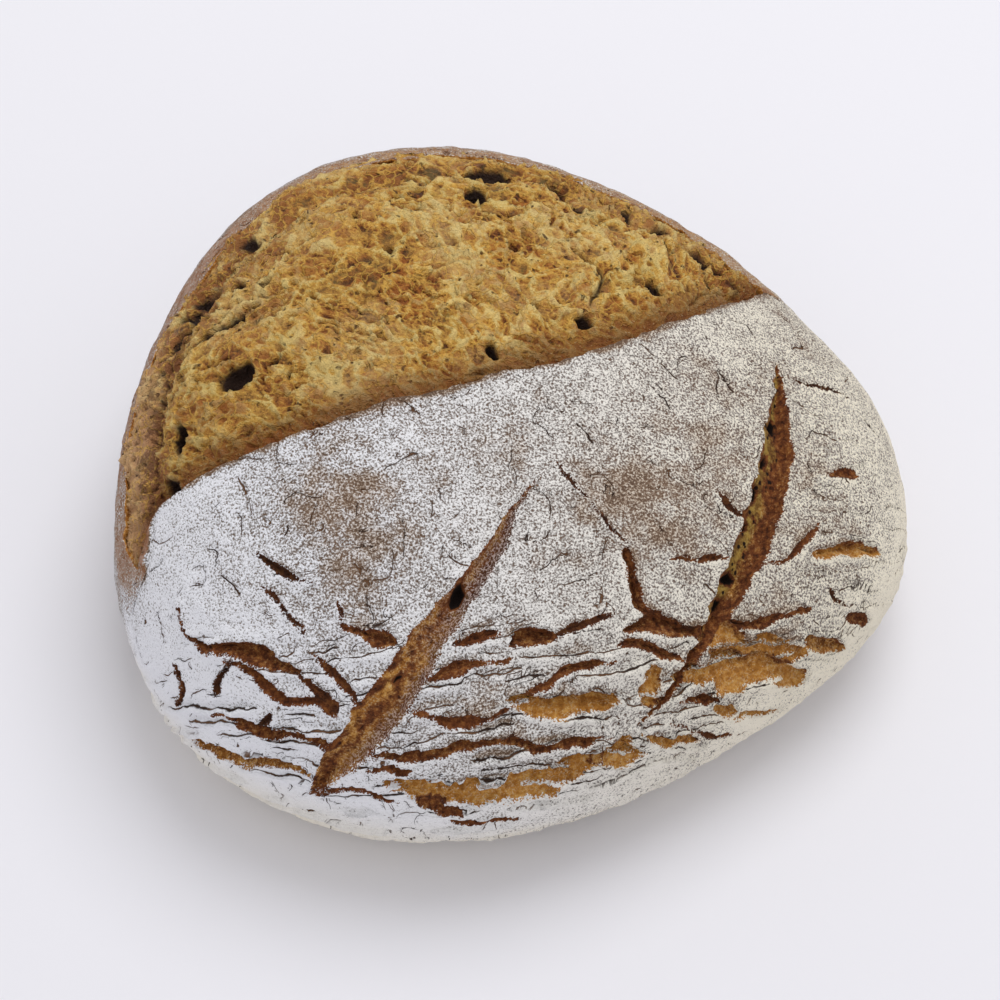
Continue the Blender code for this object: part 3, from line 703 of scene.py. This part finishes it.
# Bubbles: middle (p, q), half length, half width, turn in degrees, depth
BUBBLES = (
    (-69, -8, 5.6, 4.3, 20, 5.0), (-59, -5, 2.1, 2.2, 0, 3.0), (-54, -9, 1.3, 2.2, 0, 2.2),
    (-86.5, -20.5, 4.2, 2.2, 95, 6.0), (-90.5, -32.5, 5.2, 2.4, 140, 4.5), (-65.5, 15.5, 3.2, 1.5, -15, 3.6),
    (-70, 26, 3.0, 2.3, 20, 3.6), (-78, 31.5, 2.5, 2.0, 0, 3.4), (-89, 29, 2.0, 2.6, 0, 3.2),
    (-61, 23, 2.5, 1.5, 30, 2.8), (-79, 21, 3.0, 1.8, -20, 3.2), (-48.5, 15, 1.1, 3.6, 10, 2.4),
    (-35.5, 41.5, 1.6, 2.6, 0, 2.6), (-26, 30, 2.1, 1.9, 0, 2.4), (-4.5, 54, 3.2, 3.7, 0, 6.0),
    (-92, -4, 1.3, 1.8, 0, 2.6), (-101, 13, 2.5, 1.6, 80, 2.6), (-103, 4.5, 1.6, 2.2, 0, 2.4),
    (0.5, 1.5, 1.9, 2.2, 0, 4.5), (-2, -5, 3.6, 1.0, 25, 2.2), (26, 15, 2.4, 2.2, 0, 5.0),
    (12.5, 18, 1.8, 1.6, 0, 2.8), (46, 32, 2.4, 4.2, 10, 5.5), (21.5, 25, 0.9, 0.9, 0, 1.8),
    (6.5, 36.5, 2.1, 2.0, 0, 2.2), (66, 47, 6.6, 1.9, 68, 4.5), (56.5, 37.5, 1.0, 2.2, 0, 2.4),
    (51, 48.5, 1.1, 2.6, 0, 3.0), (25, 59, 2.5, 2.0, 0, 4.4), (38, 65, 4.6, 2.8, 10, 6.0),
    (19, 74, 4.0, 2.8, 0, 4.6), (2, 73, 7.2, 3.2, -8, 5.0), (12, 69, 2.2, 1.8, 0, 3.4),
    (-17.5, 64, 4.2, 2.0, 8, 4.2), (-11, 66, 1.8, 1.5, 0, 2.8), (-24, 49.5, 2.0, 1.8, 0, 2.6),
    (-36, 52, 2.6, 1.5, 20, 2.8), (-50, 44, 2.2, 1.5, 30, 2.6), (-96, -12, 1.4, 2.6, 0, 2.8),
)
# Crevices: half width, depth, points
CREVICES = (
    (1.0, 2.4, ((22, 41), (28, 37), (31, 29), (27, 19))),
    (1.5, 3.4, ((-100, -7), (-93, 3), (-85, 8), (-74, 12), (-65, 15))),
    (1.9, 4.2, ((-26, 62), (-12, 67), (1, 75), (12, 69))),
    (2.3, 4.8, ((17, 77), (24, 62), (37, 66), (46, 59), (52, 48))),
    (0.9, 2.2, ((-99, -30), (-97, -18), (-99, -4), (-96, 12))),
    (0.9, 2.0, ((-52, 50), (-38, 56), (-28, 52))),
    (0.8, 1.8, ((56, 30), (62, 38), (72, 44))),
    (0.7, 1.6, ((-58, -16), (-50, -12), (-44, -14))), (0.7, 1.6, ((-20, 18), (-12, 26), (-2, 27))),
    (0.7, 1.5, ((-36, 8), (-33, 18), (-36, 28))), (0.7, 1.6, ((-62, 36), (-52, 34), (-44, 38))),
)


def bloom_relief(p, q, u, v):
    """Height of the crumb off the plain body, and what the finish needs: how proud of its
    surroundings a place is, how much of a web, how deep in a hole, how far from the ear and how
    far down the furrow. U runs along the ear and v away from it, in mm."""
    ear = np.abs(nearest_on(curve_through(EAR_LINE, 60), p, q)[0])
    lip = np.abs(nearest_on(curve_through(LIP_LINE, 60), p, q)[0])
    inside = np.minimum(ear, lip)
    height = CUSHION_RISE * smoothstep(0, CUSHION_REACH, inside)
    height = height + SWELL_HEIGHT * noise(body(p, q), SWELL_SIZE, 3)
    height = height - BLOOM_SINK * np.exp(-ear / BLOOM_SINK_REACH)
    height = height + BLOOM_BRIM * np.exp(-lip / BLOOM_SINK_REACH)
    height = height - FURROW_DEPTH * np.exp(-(((lip - FURROW_OFFSET) / FURROW_WIDTH) ** 2))
    height = height + CRAG_HEIGHT * noise(body(p, q), CRAG_SIZE, 5)
    calm = 0.35 + 0.65 * smoothstep(1.5, 9, ear)
    sway_u = u + 3.2 * octaves(u, v, 14, 91) + 1.1 * octaves(u, v, 4.5, 95)
    sway_v = v + 3.2 * octaves(u, v, 14, 101) + 1.1 * octaves(u, v, 4.5, 105)
    first, second = cells(sway_u, sway_v / 1.5, 5.2, 111)
    large = np.minimum((second - first) * 1.7, 1)
    first, second = cells(sway_u + 0.4 * sway_v, sway_v / 1.8, 2.5, 121)
    small = np.minimum((second - first) * 1.8, 1)
    webs = (1 - large) ** 4
    ridges = [
        (1 - np.abs(flat_noise(sway_u / size, sway_v / (stretch * size), 1.0, seed))) ** power
        for size, stretch, seed, power in ((5.5, 1.9, 131, 3), (2.7, 2.4, 137, 4), (1.5, 2.2, 143, 3))
    ]
    lumps = octaves(sway_u, sway_v, 6.5, 151)
    proud = 1.0 * webs + 0.35 * (1 - small) ** 2 + 0.5 * lumps - 0.9
    proud = proud + 0.45 * ridges[0] + 0.55 * ridges[1] + 0.45 * ridges[2]
    proud = proud * calm + 0.16 * octaves(u, v, 1.3, 161, 2)
    far_u, far_v = u + 5 * octaves(u, v, 16, 221), v + 5 * octaves(u, v, 16, 231)
    strand = (1 - np.abs(flat_noise(far_u / 2.6, far_v / 9.0, 1.0, 241))) ** 7
    strand = strand * smoothstep(-0.15, 0.3, flat_noise(u, v, 11, 251)) * smoothstep(0.5, 3, inside)
    proud = proud + 0.9 * strand
    web = 0.8 * strand + 0.6 * webs + 0.40 * ridges[1] + 0.30 * ridges[2] + 0.25 * (1 - small) ** 2
    hole = np.zeros(p.shape)
    shaken_p, shaken_q = p + 0.9 * flat_noise(p, q, 3, 171), q + 0.9 * flat_noise(p, q, 3, 181)
    for *shape, depth in BUBBLES:
        rim = oval(shaken_p, shaken_q, *shape)
        hole = np.maximum(hole, depth * smoothstep(0.1, -1.3, rim))
        proud = proud + 0.5 * np.exp(-((rim - 0.5) ** 2) / 0.5)
    for half_width, depth, points in CREVICES:
        offset, place = nearest_on(curve_through(points, 20), shaken_p, shaken_q)
        outside = np.abs(offset) - half_width * (4 * place * (1 - place)) ** 0.5
        hole = np.maximum(hole, depth * smoothstep(0.4, -1.0, outside))
    _, rift, _ = zero_line(flat_noise, sway_u, sway_v / 1.4, 9.0, 201)
    open_here = smoothstep(30, 10, lip) * smoothstep(2, 7, inside)
    open_here = open_here * smoothstep(-0.1, 0.25, flat_noise(u, v, 12, 205))
    hole = np.maximum(hole, RIFT_DEPTH * open_here * smoothstep(RIFT_HALF_WIDTH, 0.0, np.abs(rift)))
    pocks = smoothstep(0.30, 0.12, first) * smoothstep(0.1, 0.5, flat_noise(u, v, 9, 191)) * calm
    hole = np.maximum(hole, 1.5 * pocks)
    # How far down the furrow a place is; the finish paints the furrow's shade from it
    furrow = np.exp(-(((lip - FURROW_OFFSET + 3) / FURROW_SHADE) ** 2))
    looks = {"proud": proud, "web": web, "hole": hole, "from_ear": ear, "furrow": furrow}
    return height + proud - hole, looks


# %% [markdown]
# The bloom is a thick patch lying in its bed, pointed at both ends. Its edges go under the ear
# and under the lip, so no gap shows. Each ring goes once round its section: over the top from
# ear to lip, and back underneath.

# %%
# Rings of the bloom
BLOOM_COLUMNS, BLOOM_ROWS, BLOOM_UNDER_ROWS = 372, 236, 12
BLOOM_TUCK, BLOOM_THICKNESS = 2.8, 7.0


def build_bloom():
    """The bloom's rings, end points and stored fields."""
    ear = curve_through(EAR_LINE, BLOOM_COLUMNS + 2)
    lip = curve_through(LIP_LINE, BLOOM_COLUMNS + 2)
    across = lip - ear
    across = across / np.maximum(np.linalg.norm(across, axis=1, keepdims=True), 1)
    tuck = BLOOM_TUCK * np.sin(np.linspace(0, math.pi, BLOOM_COLUMNS + 2))[:, None] ** 0.3
    near, far = ear - across * tuck, lip + across * tuck
    share = np.concatenate([np.linspace(0, 1, BLOOM_ROWS), np.linspace(1, 0, BLOOM_UNDER_ROWS + 2)[1:-1]])
    chart = near[:, None] * (1 - share[None, :, None]) + far[:, None] * share[None, :, None]
    p, q = chart[..., 0], chart[..., 1]
    along = np.linspace(0, np.hypot(*np.diff(ear, axis=0).T).sum(), BLOOM_COLUMNS + 2)[:, None]
    length = np.linalg.norm(far - near, axis=1)[:, None]
    height, looks = bloom_relief(p, q, along + 0 * p, length * share[None])
    top = np.arange(len(share)) < BLOOM_ROWS
    thin = np.sin(np.pi * np.clip(np.linspace(0, 1, BLOOM_COLUMNS + 2), 0.02, 0.98))[:, None] ** 0.5
    height = np.where(top, height, -BLOOM_THICKNESS * thin - 2)
    points = on_loaf(p, q, height)
    tips = points[[0, -1]].mean(1)
    fields = {
        name: np.concatenate([values[1:-1].ravel(), [values[0].mean(), values[-1].mean()]])
        for name, values in looks.items()
    }
    return points[1:-1], tips, fields


bloom_rings, bloom_ends, bloom_fields = build_bloom()

# %% [markdown]
# ## Placing the loaf
#
# The fixed loaf stands with the middle of its box over the origin. This one is moved to match,
# and made a touch smaller if a flake would reach past that box.

# %%
# Matching the fixed loaf
low = np.minimum(crust_rings.reshape(-1, 3).min(0), bloom_rings.reshape(-1, 3).min(0))
high = np.maximum(crust_rings.reshape(-1, 3).max(0), bloom_rings.reshape(-1, 3).max(0))
fit = float(min(1.0, ((cad_high - cad_low) / (high - low)).min()))
middle = (low + high) / 2
anchor = np.array([middle[0], middle[1], low[2]])
print("own box", np.round(high - low, 1), "mm, scaled by", round(fit, 4))


def placed(points):
    """Points moved and scaled into the fixed loaf's box."""
    return (points - anchor) * fit


crust = shell_object("crust", placed(crust_rings), placed(crust_ends), crust_fields)
bloom = shell_object("bloom", placed(bloom_rings), placed(bloom_ends), bloom_fields)

# %% [markdown]
# ## Colour helpers
#
# Colours are written as they look on screen and turned into linear light by one function. One
# more function adds a shader node, sets it up and links it.

# %%
# Helpers for the finishes


def colour(code):
    """A hex colour as linear red, green, blue and alpha."""
    parts = [int(code[k:k + 2], 16) / 255 for k in (0, 2, 4)]
    return (*[c / 12.92 if c <= 0.04045 else ((c + 0.055) / 1.055) ** 2.4 for c in parts], 1.0)


def add(tree, kind, inputs, **settings):
    """Adds a node. An input is given a value or the socket that feeds it."""
    made = tree.nodes.new(kind)
    for name, value in settings.items():
        setattr(made, name, value)
    for name, value in inputs.items():
        if isinstance(value, bpy.types.NodeSocket):
            tree.links.new(value, made.inputs[name])
        else:
            made.inputs[name].default_value = value
    return made


def grain(tree, where, size, detail=2.0, roughness=0.5, stretch=0.0):
    """Noise of a size in mm, from 0 to 1 about a middle of 0.5."""
    made = add(tree, "ShaderNodeTexNoise", {"Vector": where, "Scale": 1 / (size * MM), "Detail": detail,
                                            "Roughness": roughness, "Distortion": stretch})
    return made.outputs["Fac"]


def stored(tree, name):
    """A value stored at the mesh's points."""
    return add(tree, "ShaderNodeAttribute", {}, attribute_name=name).outputs["Fac"]


def sum_of(tree, *terms):
    """Adds sockets, each a (socket, weight) pair, and plain numbers."""
    total = float(sum(term for term in terms if not isinstance(term, tuple)))
    for socket, weight in (term for term in terms if isinstance(term, tuple)):
        made = add(tree, "ShaderNodeMath", {0: socket, 1: weight, 2: total}, operation="MULTIPLY_ADD")
        total = made.outputs[0]
    return total


def between(tree, value, low_end, high_end):
    """Eases a value from 0 at the low end to 1 at the high end."""
    made = add(tree, "ShaderNodeMapRange", {"Value": value, "From Min": low_end, "From Max": high_end},
               interpolation_type="SMOOTHSTEP")
    return made.outputs["Result"]


def product(tree, first, second):
    """Multiplies two values."""
    return add(tree, "ShaderNodeMath", {0: first, 1: second}, operation="MULTIPLY").outputs[0]


def mixed(tree, share, first, second):
    """Mixes two colours."""
    made = add(tree, "ShaderNodeMix", {0: share, 6: first, 7: second}, data_type="RGBA")
    return made.outputs[2]


def ramp(tree, value, stops):
    """Colours along a value: pairs of place and hex colour."""
    made = add(tree, "ShaderNodeValToRGB", {"Fac": value})
    elements = made.color_ramp.elements
    while len(elements) < len(stops):
        elements.new(0.5)
    for element, (place, code) in zip(elements, stops):
        element.position = place
        element.color = colour(code)
    return made.outputs["Color"]


def new_material(name):
    """A material with its shader and the object's coordinates."""
    material = bpy.data.materials.new(name)
    material.use_nodes = True
    tree = material.node_tree
    where = add(tree, "ShaderNodeTexCoord", {}).outputs["Object"]
    return material, tree, tree.nodes["Principled BSDF"], where


# %% [markdown]
# ## Floured crust
#
# Flour clings to the damp dough as single grains and small clumps, so the coat is never even:
# white where it is thick, and a pepper of white grains on brown where it was rubbed. Where the
# skin tore after dusting there is no flour, and the orange-brown crumb shows: golden in the
# wide tears, and darkened by painted shade to red-brown in the narrow ones and along the walls,
# and to nearly black in the small holes. Hairline cracks are drawn from their stored distances,
# which stay crisp between the points of the mesh, in the brown of the bare crust darkened by
# painted shade.

# %%
# The crust's finish


def floured_crust():
    """Baked crust with grains of flour over it, bare and crumbly inside the tears."""
    material, tree, shader, where = new_material("floured crust")
    coat, torn, painted_shade, dust = (stored(tree, name) for name in ("flour", "torn", "painted_shade", "dust"))
    olive, rim, crack, near_crack = (stored(tree, name) for name in ("olive", "rim", "crack", "near_crack"))
    place = add(tree, "ShaderNodeSeparateXYZ", {"Vector": where})
    # Real flour is finer than this: the grains are drawn half a millimetre wide so that they show
    fine = grain(tree, where, 0.55, 2, 0.6)
    clumps = grain(tree, where, 3.2, 3, 0.6)
    drifts = grain(tree, where, 9, 2)
    # The stored coat also carries the painted light and shade of flap and tear edges
    cover = sum_of(tree, -1.91, (coat, 1.0), (fine, 3.1), (clumps, 0.60), (drifts, 0.20))
    rightwards = between(tree, place.outputs["X"], -60 * MM, 90 * MM)
    low_down = between(tree, place.outputs["Z"], 45 * MM, 5 * MM)
    warm = add(tree, "ShaderNodeMath", {0: rightwards, 1: low_down}, operation="MAXIMUM").outputs[0]
    flour = mixed(tree, warm, colour("F3F3F8"), colour("F3EAD6"))
    baked = mixed(tree, drifts, colour("4A3B31"), colour("80644F"))
    towards_middle = between(tree, place.outputs["X"], -95 * MM, -45 * MM)
    rim_pale = mixed(tree, towards_middle, colour("B08B78"), colour("B98C5A"))
    rim_crust = mixed(tree, between(tree, clumps, 0.38, 0.62), colour("8F6446"), rim_pale)
    under = mixed(tree, between(tree, rim, 0.15, 0.5), baked, rim_crust)
    scarce = between(tree, sum_of(tree, (coat, 1.0), (clumps, 0.35), (drifts, 0.30)), 0.78, 0.46)
    flour = mixed(tree, product(tree, scarce, 0.55), flour, colour("CDB9A4"))
    thin_coat = mixed(tree, scarce, colour("928C88"), colour("98826E"))
    grey = mixed(tree, between(tree, cover, -0.10, 0.42), under, thin_coat)
    dusted = mixed(tree, between(tree, cover, 0.20, 0.85), grey, flour)
    # Cracks in the flour: the bare brown crust below, darkened further as painted shade in the narrow gap
    split = add(tree, "ShaderNodeMath", {0: crack}, operation="ABSOLUTE").outputs[0]
    split = between(tree, sum_of(tree, -0.22, (split, 1.0), (clumps, 0.5)), 0.30, 0.12)
    split = product(tree, split, between(tree, near_crack, 0.15, 0.60))
    crack_brown_and_shade = mixed(tree, between(tree, drifts, 0.4, 0.6), colour("36241A"), colour("6E4E36"))
    dusted = mixed(tree, split, dusted, crack_brown_and_shade)
    crumb_grain = grain(tree, where, 1.6, 4, 0.65)
    crumb_tone = sum_of(tree, -0.25, (crumb_grain, 1.0), (drifts, 0.5))
    crumb = ramp(tree, crumb_tone, ((0.2, "6A3A14"), (0.5, "B07630"), (0.8, "E0B064")))
    mauve = mixed(tree, between(tree, fine, 0.47, 0.57), colour("3A221E"), colour("B4A29E"))
    floury = product(tree, between(tree, fine, 0.50, 0.62), between(tree, clumps, 0.36, 0.58))
    crumb = mixed(tree, product(tree, floury, 0.4), crumb, colour("DCC8A4"))
    olive_crumb = mixed(tree, between(tree, clumps, 0.4, 0.6), colour("6C5226"), colour("A4883E"))
    crumb = mixed(tree, olive, crumb, olive_crumb)
    crumb = mixed(tree, dust, crumb, mauve)
    # Painted shade: the crumb goes red-brown where the stored painted shade is strong, and near black in the
    # small holes and thinnest tears
    shaded = sum_of(tree, (painted_shade, 1.0), (dust, -0.25), (crumb_grain, -0.9), (fine, -0.7))
    brown = ramp(tree, crumb_grain, ((0.3, "34170B"), (0.5, "6E3C1D"), (0.7, "985F2F")))
    crumb = mixed(tree, between(tree, shaded, -0.50, 0.10), crumb, brown)
    crumb = mixed(tree, between(tree, painted_shade, 1.1, 1.8), crumb, colour("140905"))
    # Pores in the olive crumb painted near black, as shade in the holes
    pore_shade = add(tree, "ShaderNodeTexVoronoi", {"Vector": where, "Scale": 1 / (2.3 * MM)}).outputs["Distance"]
    pore_shade = between(tree, sum_of(tree, (pore_shade, 1.0), (clumps, 0.35)), 0.50, 0.38)
    crumb = mixed(tree, product(tree, pore_shade, between(tree, olive, 0.1, 0.5)), crumb, colour("1E0D05"))
    edge = sum_of(tree, -1.35, (torn, 1.0), (fine, 1.8), (crumb_grain, 0.9))
    bare = between(tree, edge, 0.12, -0.12)
    tree.links.new(mixed(tree, bare, dusted, crumb), shader.inputs["Base Color"])
    # Dry flour and crumb scatter light evenly, with hardly any gloss
    shader.inputs["Roughness"].default_value = 0.92
    shader.inputs["Specular IOR Level"].default_value = 0.25
    rough = sum_of(tree, (fine, 0.8), (clumps, 0.6), (crumb_grain, 0.4), (split, -0.8))
    bump = add(tree, "ShaderNodeBump", {"Height": rough, "Strength": 1.0, "Distance": 0.7 * MM})
    tree.links.new(bump.outputs["Normal"], shader.inputs["Normal"])
    return material


crust.data.materials.append(floured_crust())

# %% [markdown]
# ## Bare crumb
#
# The bloom baked without flour. Its raised webs are pale and golden, partly their own colour and
# partly painted light, the floor of each cell is painted browner as shade, and the deep bubbles
# are painted nearly black as shade. A darker band follows the ear. The furrow before the lip is
# ruddy, partly painted shade, and streaked dark on the left with painted crevice shade, and the
# far left end is pale. Threads of baked gluten run over it all: they are the edges of a cell
# pattern whose coordinates are swayed by noise.

# %%
# The bloom's finish


def golden_crumb():
    """Open crumb: pale on its webs, brown in its cells and dark in its holes: painted light on the
    raised webs, painted shade in the cells and holes.
    """
    material, tree, shader, where = new_material("golden crumb")
    proud, web, hole, from_ear, furrow = (
        stored(tree, name) for name in ("proud", "web", "hole", "from_ear", "furrow")
    )
    fine = grain(tree, where, 0.8, 3, 0.7)
    patchy = grain(tree, where, 3.6, 4, 0.65)
    blotch = grain(tree, where, 9, 3, 0.6)
    broad = grain(tree, where, 26, 2)
    sway = add(tree, "ShaderNodeTexNoise", {"Vector": where, "Scale": 1 / (5 * MM), "Detail": 3.0})
    reach = (6 * MM, 6 * MM, 6 * MM)
    swayed = add(tree, "ShaderNodeVectorMath", {0: sway.outputs["Color"], 1: reach, 2: where},
                 operation="MULTIPLY_ADD").outputs[0]
    threads = []
    for size, half_width in ((4.2, 0.11), (1.9, 0.15)):
        cell_edge = add(tree, "ShaderNodeTexVoronoi", {"Vector": swayed, "Scale": 1 / (size * MM)},
                        feature="DISTANCE_TO_EDGE").outputs["Distance"]
        threads.append(between(tree, cell_edge, half_width, 0.0))
    coarse_thread = product(tree, threads[0], between(tree, blotch, 0.36, 0.56))
    # The tone follows the crumb's height: raised crumb and webs are painted lighter, as if lit, and cell
    # floors darker, as painted shade; fine, patchy and broad noise vary its own colour
    tone = sum_of(tree, -1.13, (proud, 0.26), (web, 0.75), (fine, 1.10), (patchy, 1.00), (broad, 0.65))
    # Painted shade: darker down the furrow; the threads are their own paler colour
    tone = sum_of(tree, 0.05, (tone, 1.0), (furrow, -0.22), (coarse_thread, 0.12), (threads[1], 0.06))
    golden = ((0.0, "3A1806"), (0.22, "804717"), (0.46, "BC7F32"), (0.72, "E0AC4C"), (1.0, "F4D486"))
    base = ramp(tree, tone, golden)
    cream = between(tree, sum_of(tree, (broad, 1.0), (patchy, 0.5)), 0.70, 0.90)
    base = mixed(tree, product(tree, cream, 0.30), base, colour("D8C08A"))
    toast = between(tree, sum_of(tree, (patchy, 0.9), (blotch, 0.8)), 0.84, 1.02)
    base = mixed(tree, product(tree, toast, 0.55), base, colour("AE6220"))
    olive = between(tree, sum_of(tree, (blotch, 1.0), (broad, 0.6)), 0.80, 0.62)
    base = mixed(tree, product(tree, olive, 0.25), base, colour("BFA65A"))
    place = add(tree, "ShaderNodeSeparateXYZ", {"Vector": where}).outputs["X"]
    leftwards = between(tree, place, -20 * MM, -90 * MM)
    # Redder on the left and down the furrow: its own colour, and in the furrow partly painted shade
    ruddy = product(tree, sum_of(tree, (leftwards, 0.6), (furrow, 0.6)), between(tree, blotch, 0.40, 0.58))
    base = mixed(tree, ruddy, base, colour("A66A34"))
    pale_end = between(tree, place, -90 * MM, -106 * MM)
    base = mixed(tree, product(tree, pale_end, 0.80), base, colour("E0B488"))
    base = mixed(tree, product(tree, coarse_thread, 0.7), base, colour("EBB854"))
    # Small pits painted dark brown, as shade in the cells
    pit_shade = add(tree, "ShaderNodeTexVoronoi", {"Vector": swayed, "Scale": 1 / (3.4 * MM)}).outputs["Distance"]
    pit_shade = product(tree, between(tree, pit_shade, 0.26, 0.10), between(tree, patchy, 0.56, 0.44))
    base = mixed(tree, product(tree, pit_shade, 0.85), base, colour("4A230B"))
    # A darker band along the ear
    darker_ear_band = between(tree, from_ear, 12.5, 2.0)
    base = mixed(tree, product(tree, darker_ear_band, 0.80), base, colour("783E10"))
    # Painted crevice shade: dark flecks along the furrow on the left
    crevice_shade = sum_of(tree, (product(tree, furrow, leftwards), 0.60), (patchy, 1.0), (fine, 0.5))
    crevice_shade = between(tree, crevice_shade, 1.22, 1.38)
    base = mixed(tree, product(tree, crevice_shade, 0.65), base, colour("5A2E12"))
    specks = product(tree, between(tree, fine, 0.60, 0.70), between(tree, from_ear, 14.0, 2.0))
    base = mixed(tree, product(tree, specks, 0.36), base, colour("E6D2AE"))
    # Bubbles, crevices and rifts painted near black, as shade in the holes
    dark = between(tree, hole, 0.3, 2.6)
    tree.links.new(mixed(tree, dark, base, colour("2C1608")), shader.inputs["Base Color"])
    # Baked starch leaves a faint gloss on the webs
    shader.inputs["Roughness"].default_value = 0.68
    shader.inputs["Specular IOR Level"].default_value = 0.35
    rough = sum_of(tree, (fine, 0.8), (patchy, 0.8), (coarse_thread, 0.3), (threads[1], 0.12), (pit_shade, -0.6))
    bump = add(tree, "ShaderNodeBump", {"Height": rough, "Strength": 1.0, "Distance": 1.5 * MM})
    tree.links.new(bump.outputs["Normal"], shader.inputs["Normal"])
    return material


bloom.data.materials.append(golden_crumb())

# %% [markdown]
# ## The room
#
# The loaf lies on a plain pale floor under a large soft lamp from behind and above, with even
# light from all round, so its shadow falls softly towards the camera.

# %%
# Floor, light and world
FLOOR_HALF_SIZE = 6.0
LAMP_WATTS, LAMP_SIZE, LAMP_PLACE = 11.5, 1.1, (0.30, 0.50, 1.60)
FILL_STRENGTH = 0.73


def build_room():
    """The floor, the lamp and the even light round them."""
    corners = [(x * FLOOR_HALF_SIZE, y * FLOOR_HALF_SIZE, 0) for x, y in ((-1, -1), (1, -1), (1, 1), (-1, 1))]
    mesh = bpy.data.meshes.new("floor")
    mesh.from_pydata(corners, [], [(0, 1, 2, 3)])
    made = bpy.data.objects.new("floor", mesh)
    bpy.context.scene.collection.objects.link(made)
    material, _, shader, _ = new_material("pale floor")
    shader.inputs["Base Color"].default_value = colour("EDECF1")
    shader.inputs["Roughness"].default_value = 0.95
    shader.inputs["Specular IOR Level"].default_value = 0.1
    mesh.materials.append(material)
    lamp_data = bpy.data.lights.new("soft lamp", "AREA")
    lamp_data.energy = LAMP_WATTS
    lamp_data.shape = "DISK"
    lamp_data.size = LAMP_SIZE
    lamp = bpy.data.objects.new("soft lamp", lamp_data)
    lamp.location = LAMP_PLACE
    lamp.rotation_euler = (Vector((0, 0, 0.03)) - lamp.location).to_track_quat("-Z", "Y").to_euler()
    bpy.context.scene.collection.objects.link(lamp)
    world = bpy.data.worlds.new("even light")
    world.use_nodes = True
    world.node_tree.nodes["Background"].inputs["Color"].default_value = colour("F7F7F9")
    world.node_tree.nodes["Background"].inputs["Strength"].default_value = FILL_STRENGTH
    bpy.context.scene.world = world
    bpy.context.scene.view_settings.view_transform = "Standard"
    return made


floor = build_room()

# %% [markdown]
# ## The camera
#
# It stands in front of the loaf and looks down on it at 55 degrees. A short shift sets the loaf
# where the photograph has it.

# %%
# Camera
LOOK_AT = np.array([0.0, 0.0, 40.0])
CAMERA_ELEVATION, CAMERA_DISTANCE, LENS_MM = 55.0, 820.0, 104.4
SHIFT = (0.010, -0.017)


def build_camera():
    """The camera, aimed at a point inside the loaf."""
    rise = math.radians(CAMERA_ELEVATION)
    away = np.array([0, -math.cos(rise), math.sin(rise)]) * CAMERA_DISTANCE
    target = Vector(placed(LOOK_AT) * MM)
    data = bpy.data.cameras.new("camera")
    data.lens = LENS_MM
    data.sensor_width = 36.0
    data.shift_x, data.shift_y = SHIFT
    made = bpy.data.objects.new("camera", data)
    made.location = Vector(placed(LOOK_AT + away) * MM)
    made.rotation_euler = (target - made.location).to_track_quat("-Z", "Y").to_euler()
    bpy.context.scene.collection.objects.link(made)
    bpy.context.scene.camera = made


build_camera()

# %% [markdown]
# ## Standing in for the fixed loaf
#
# Both pieces stand for the one fixed loaf, and the floor is only there for the picture.

# %%
# What stands for what
for piece in (crust, bloom):
    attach(piece, "root")
    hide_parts("loaf")
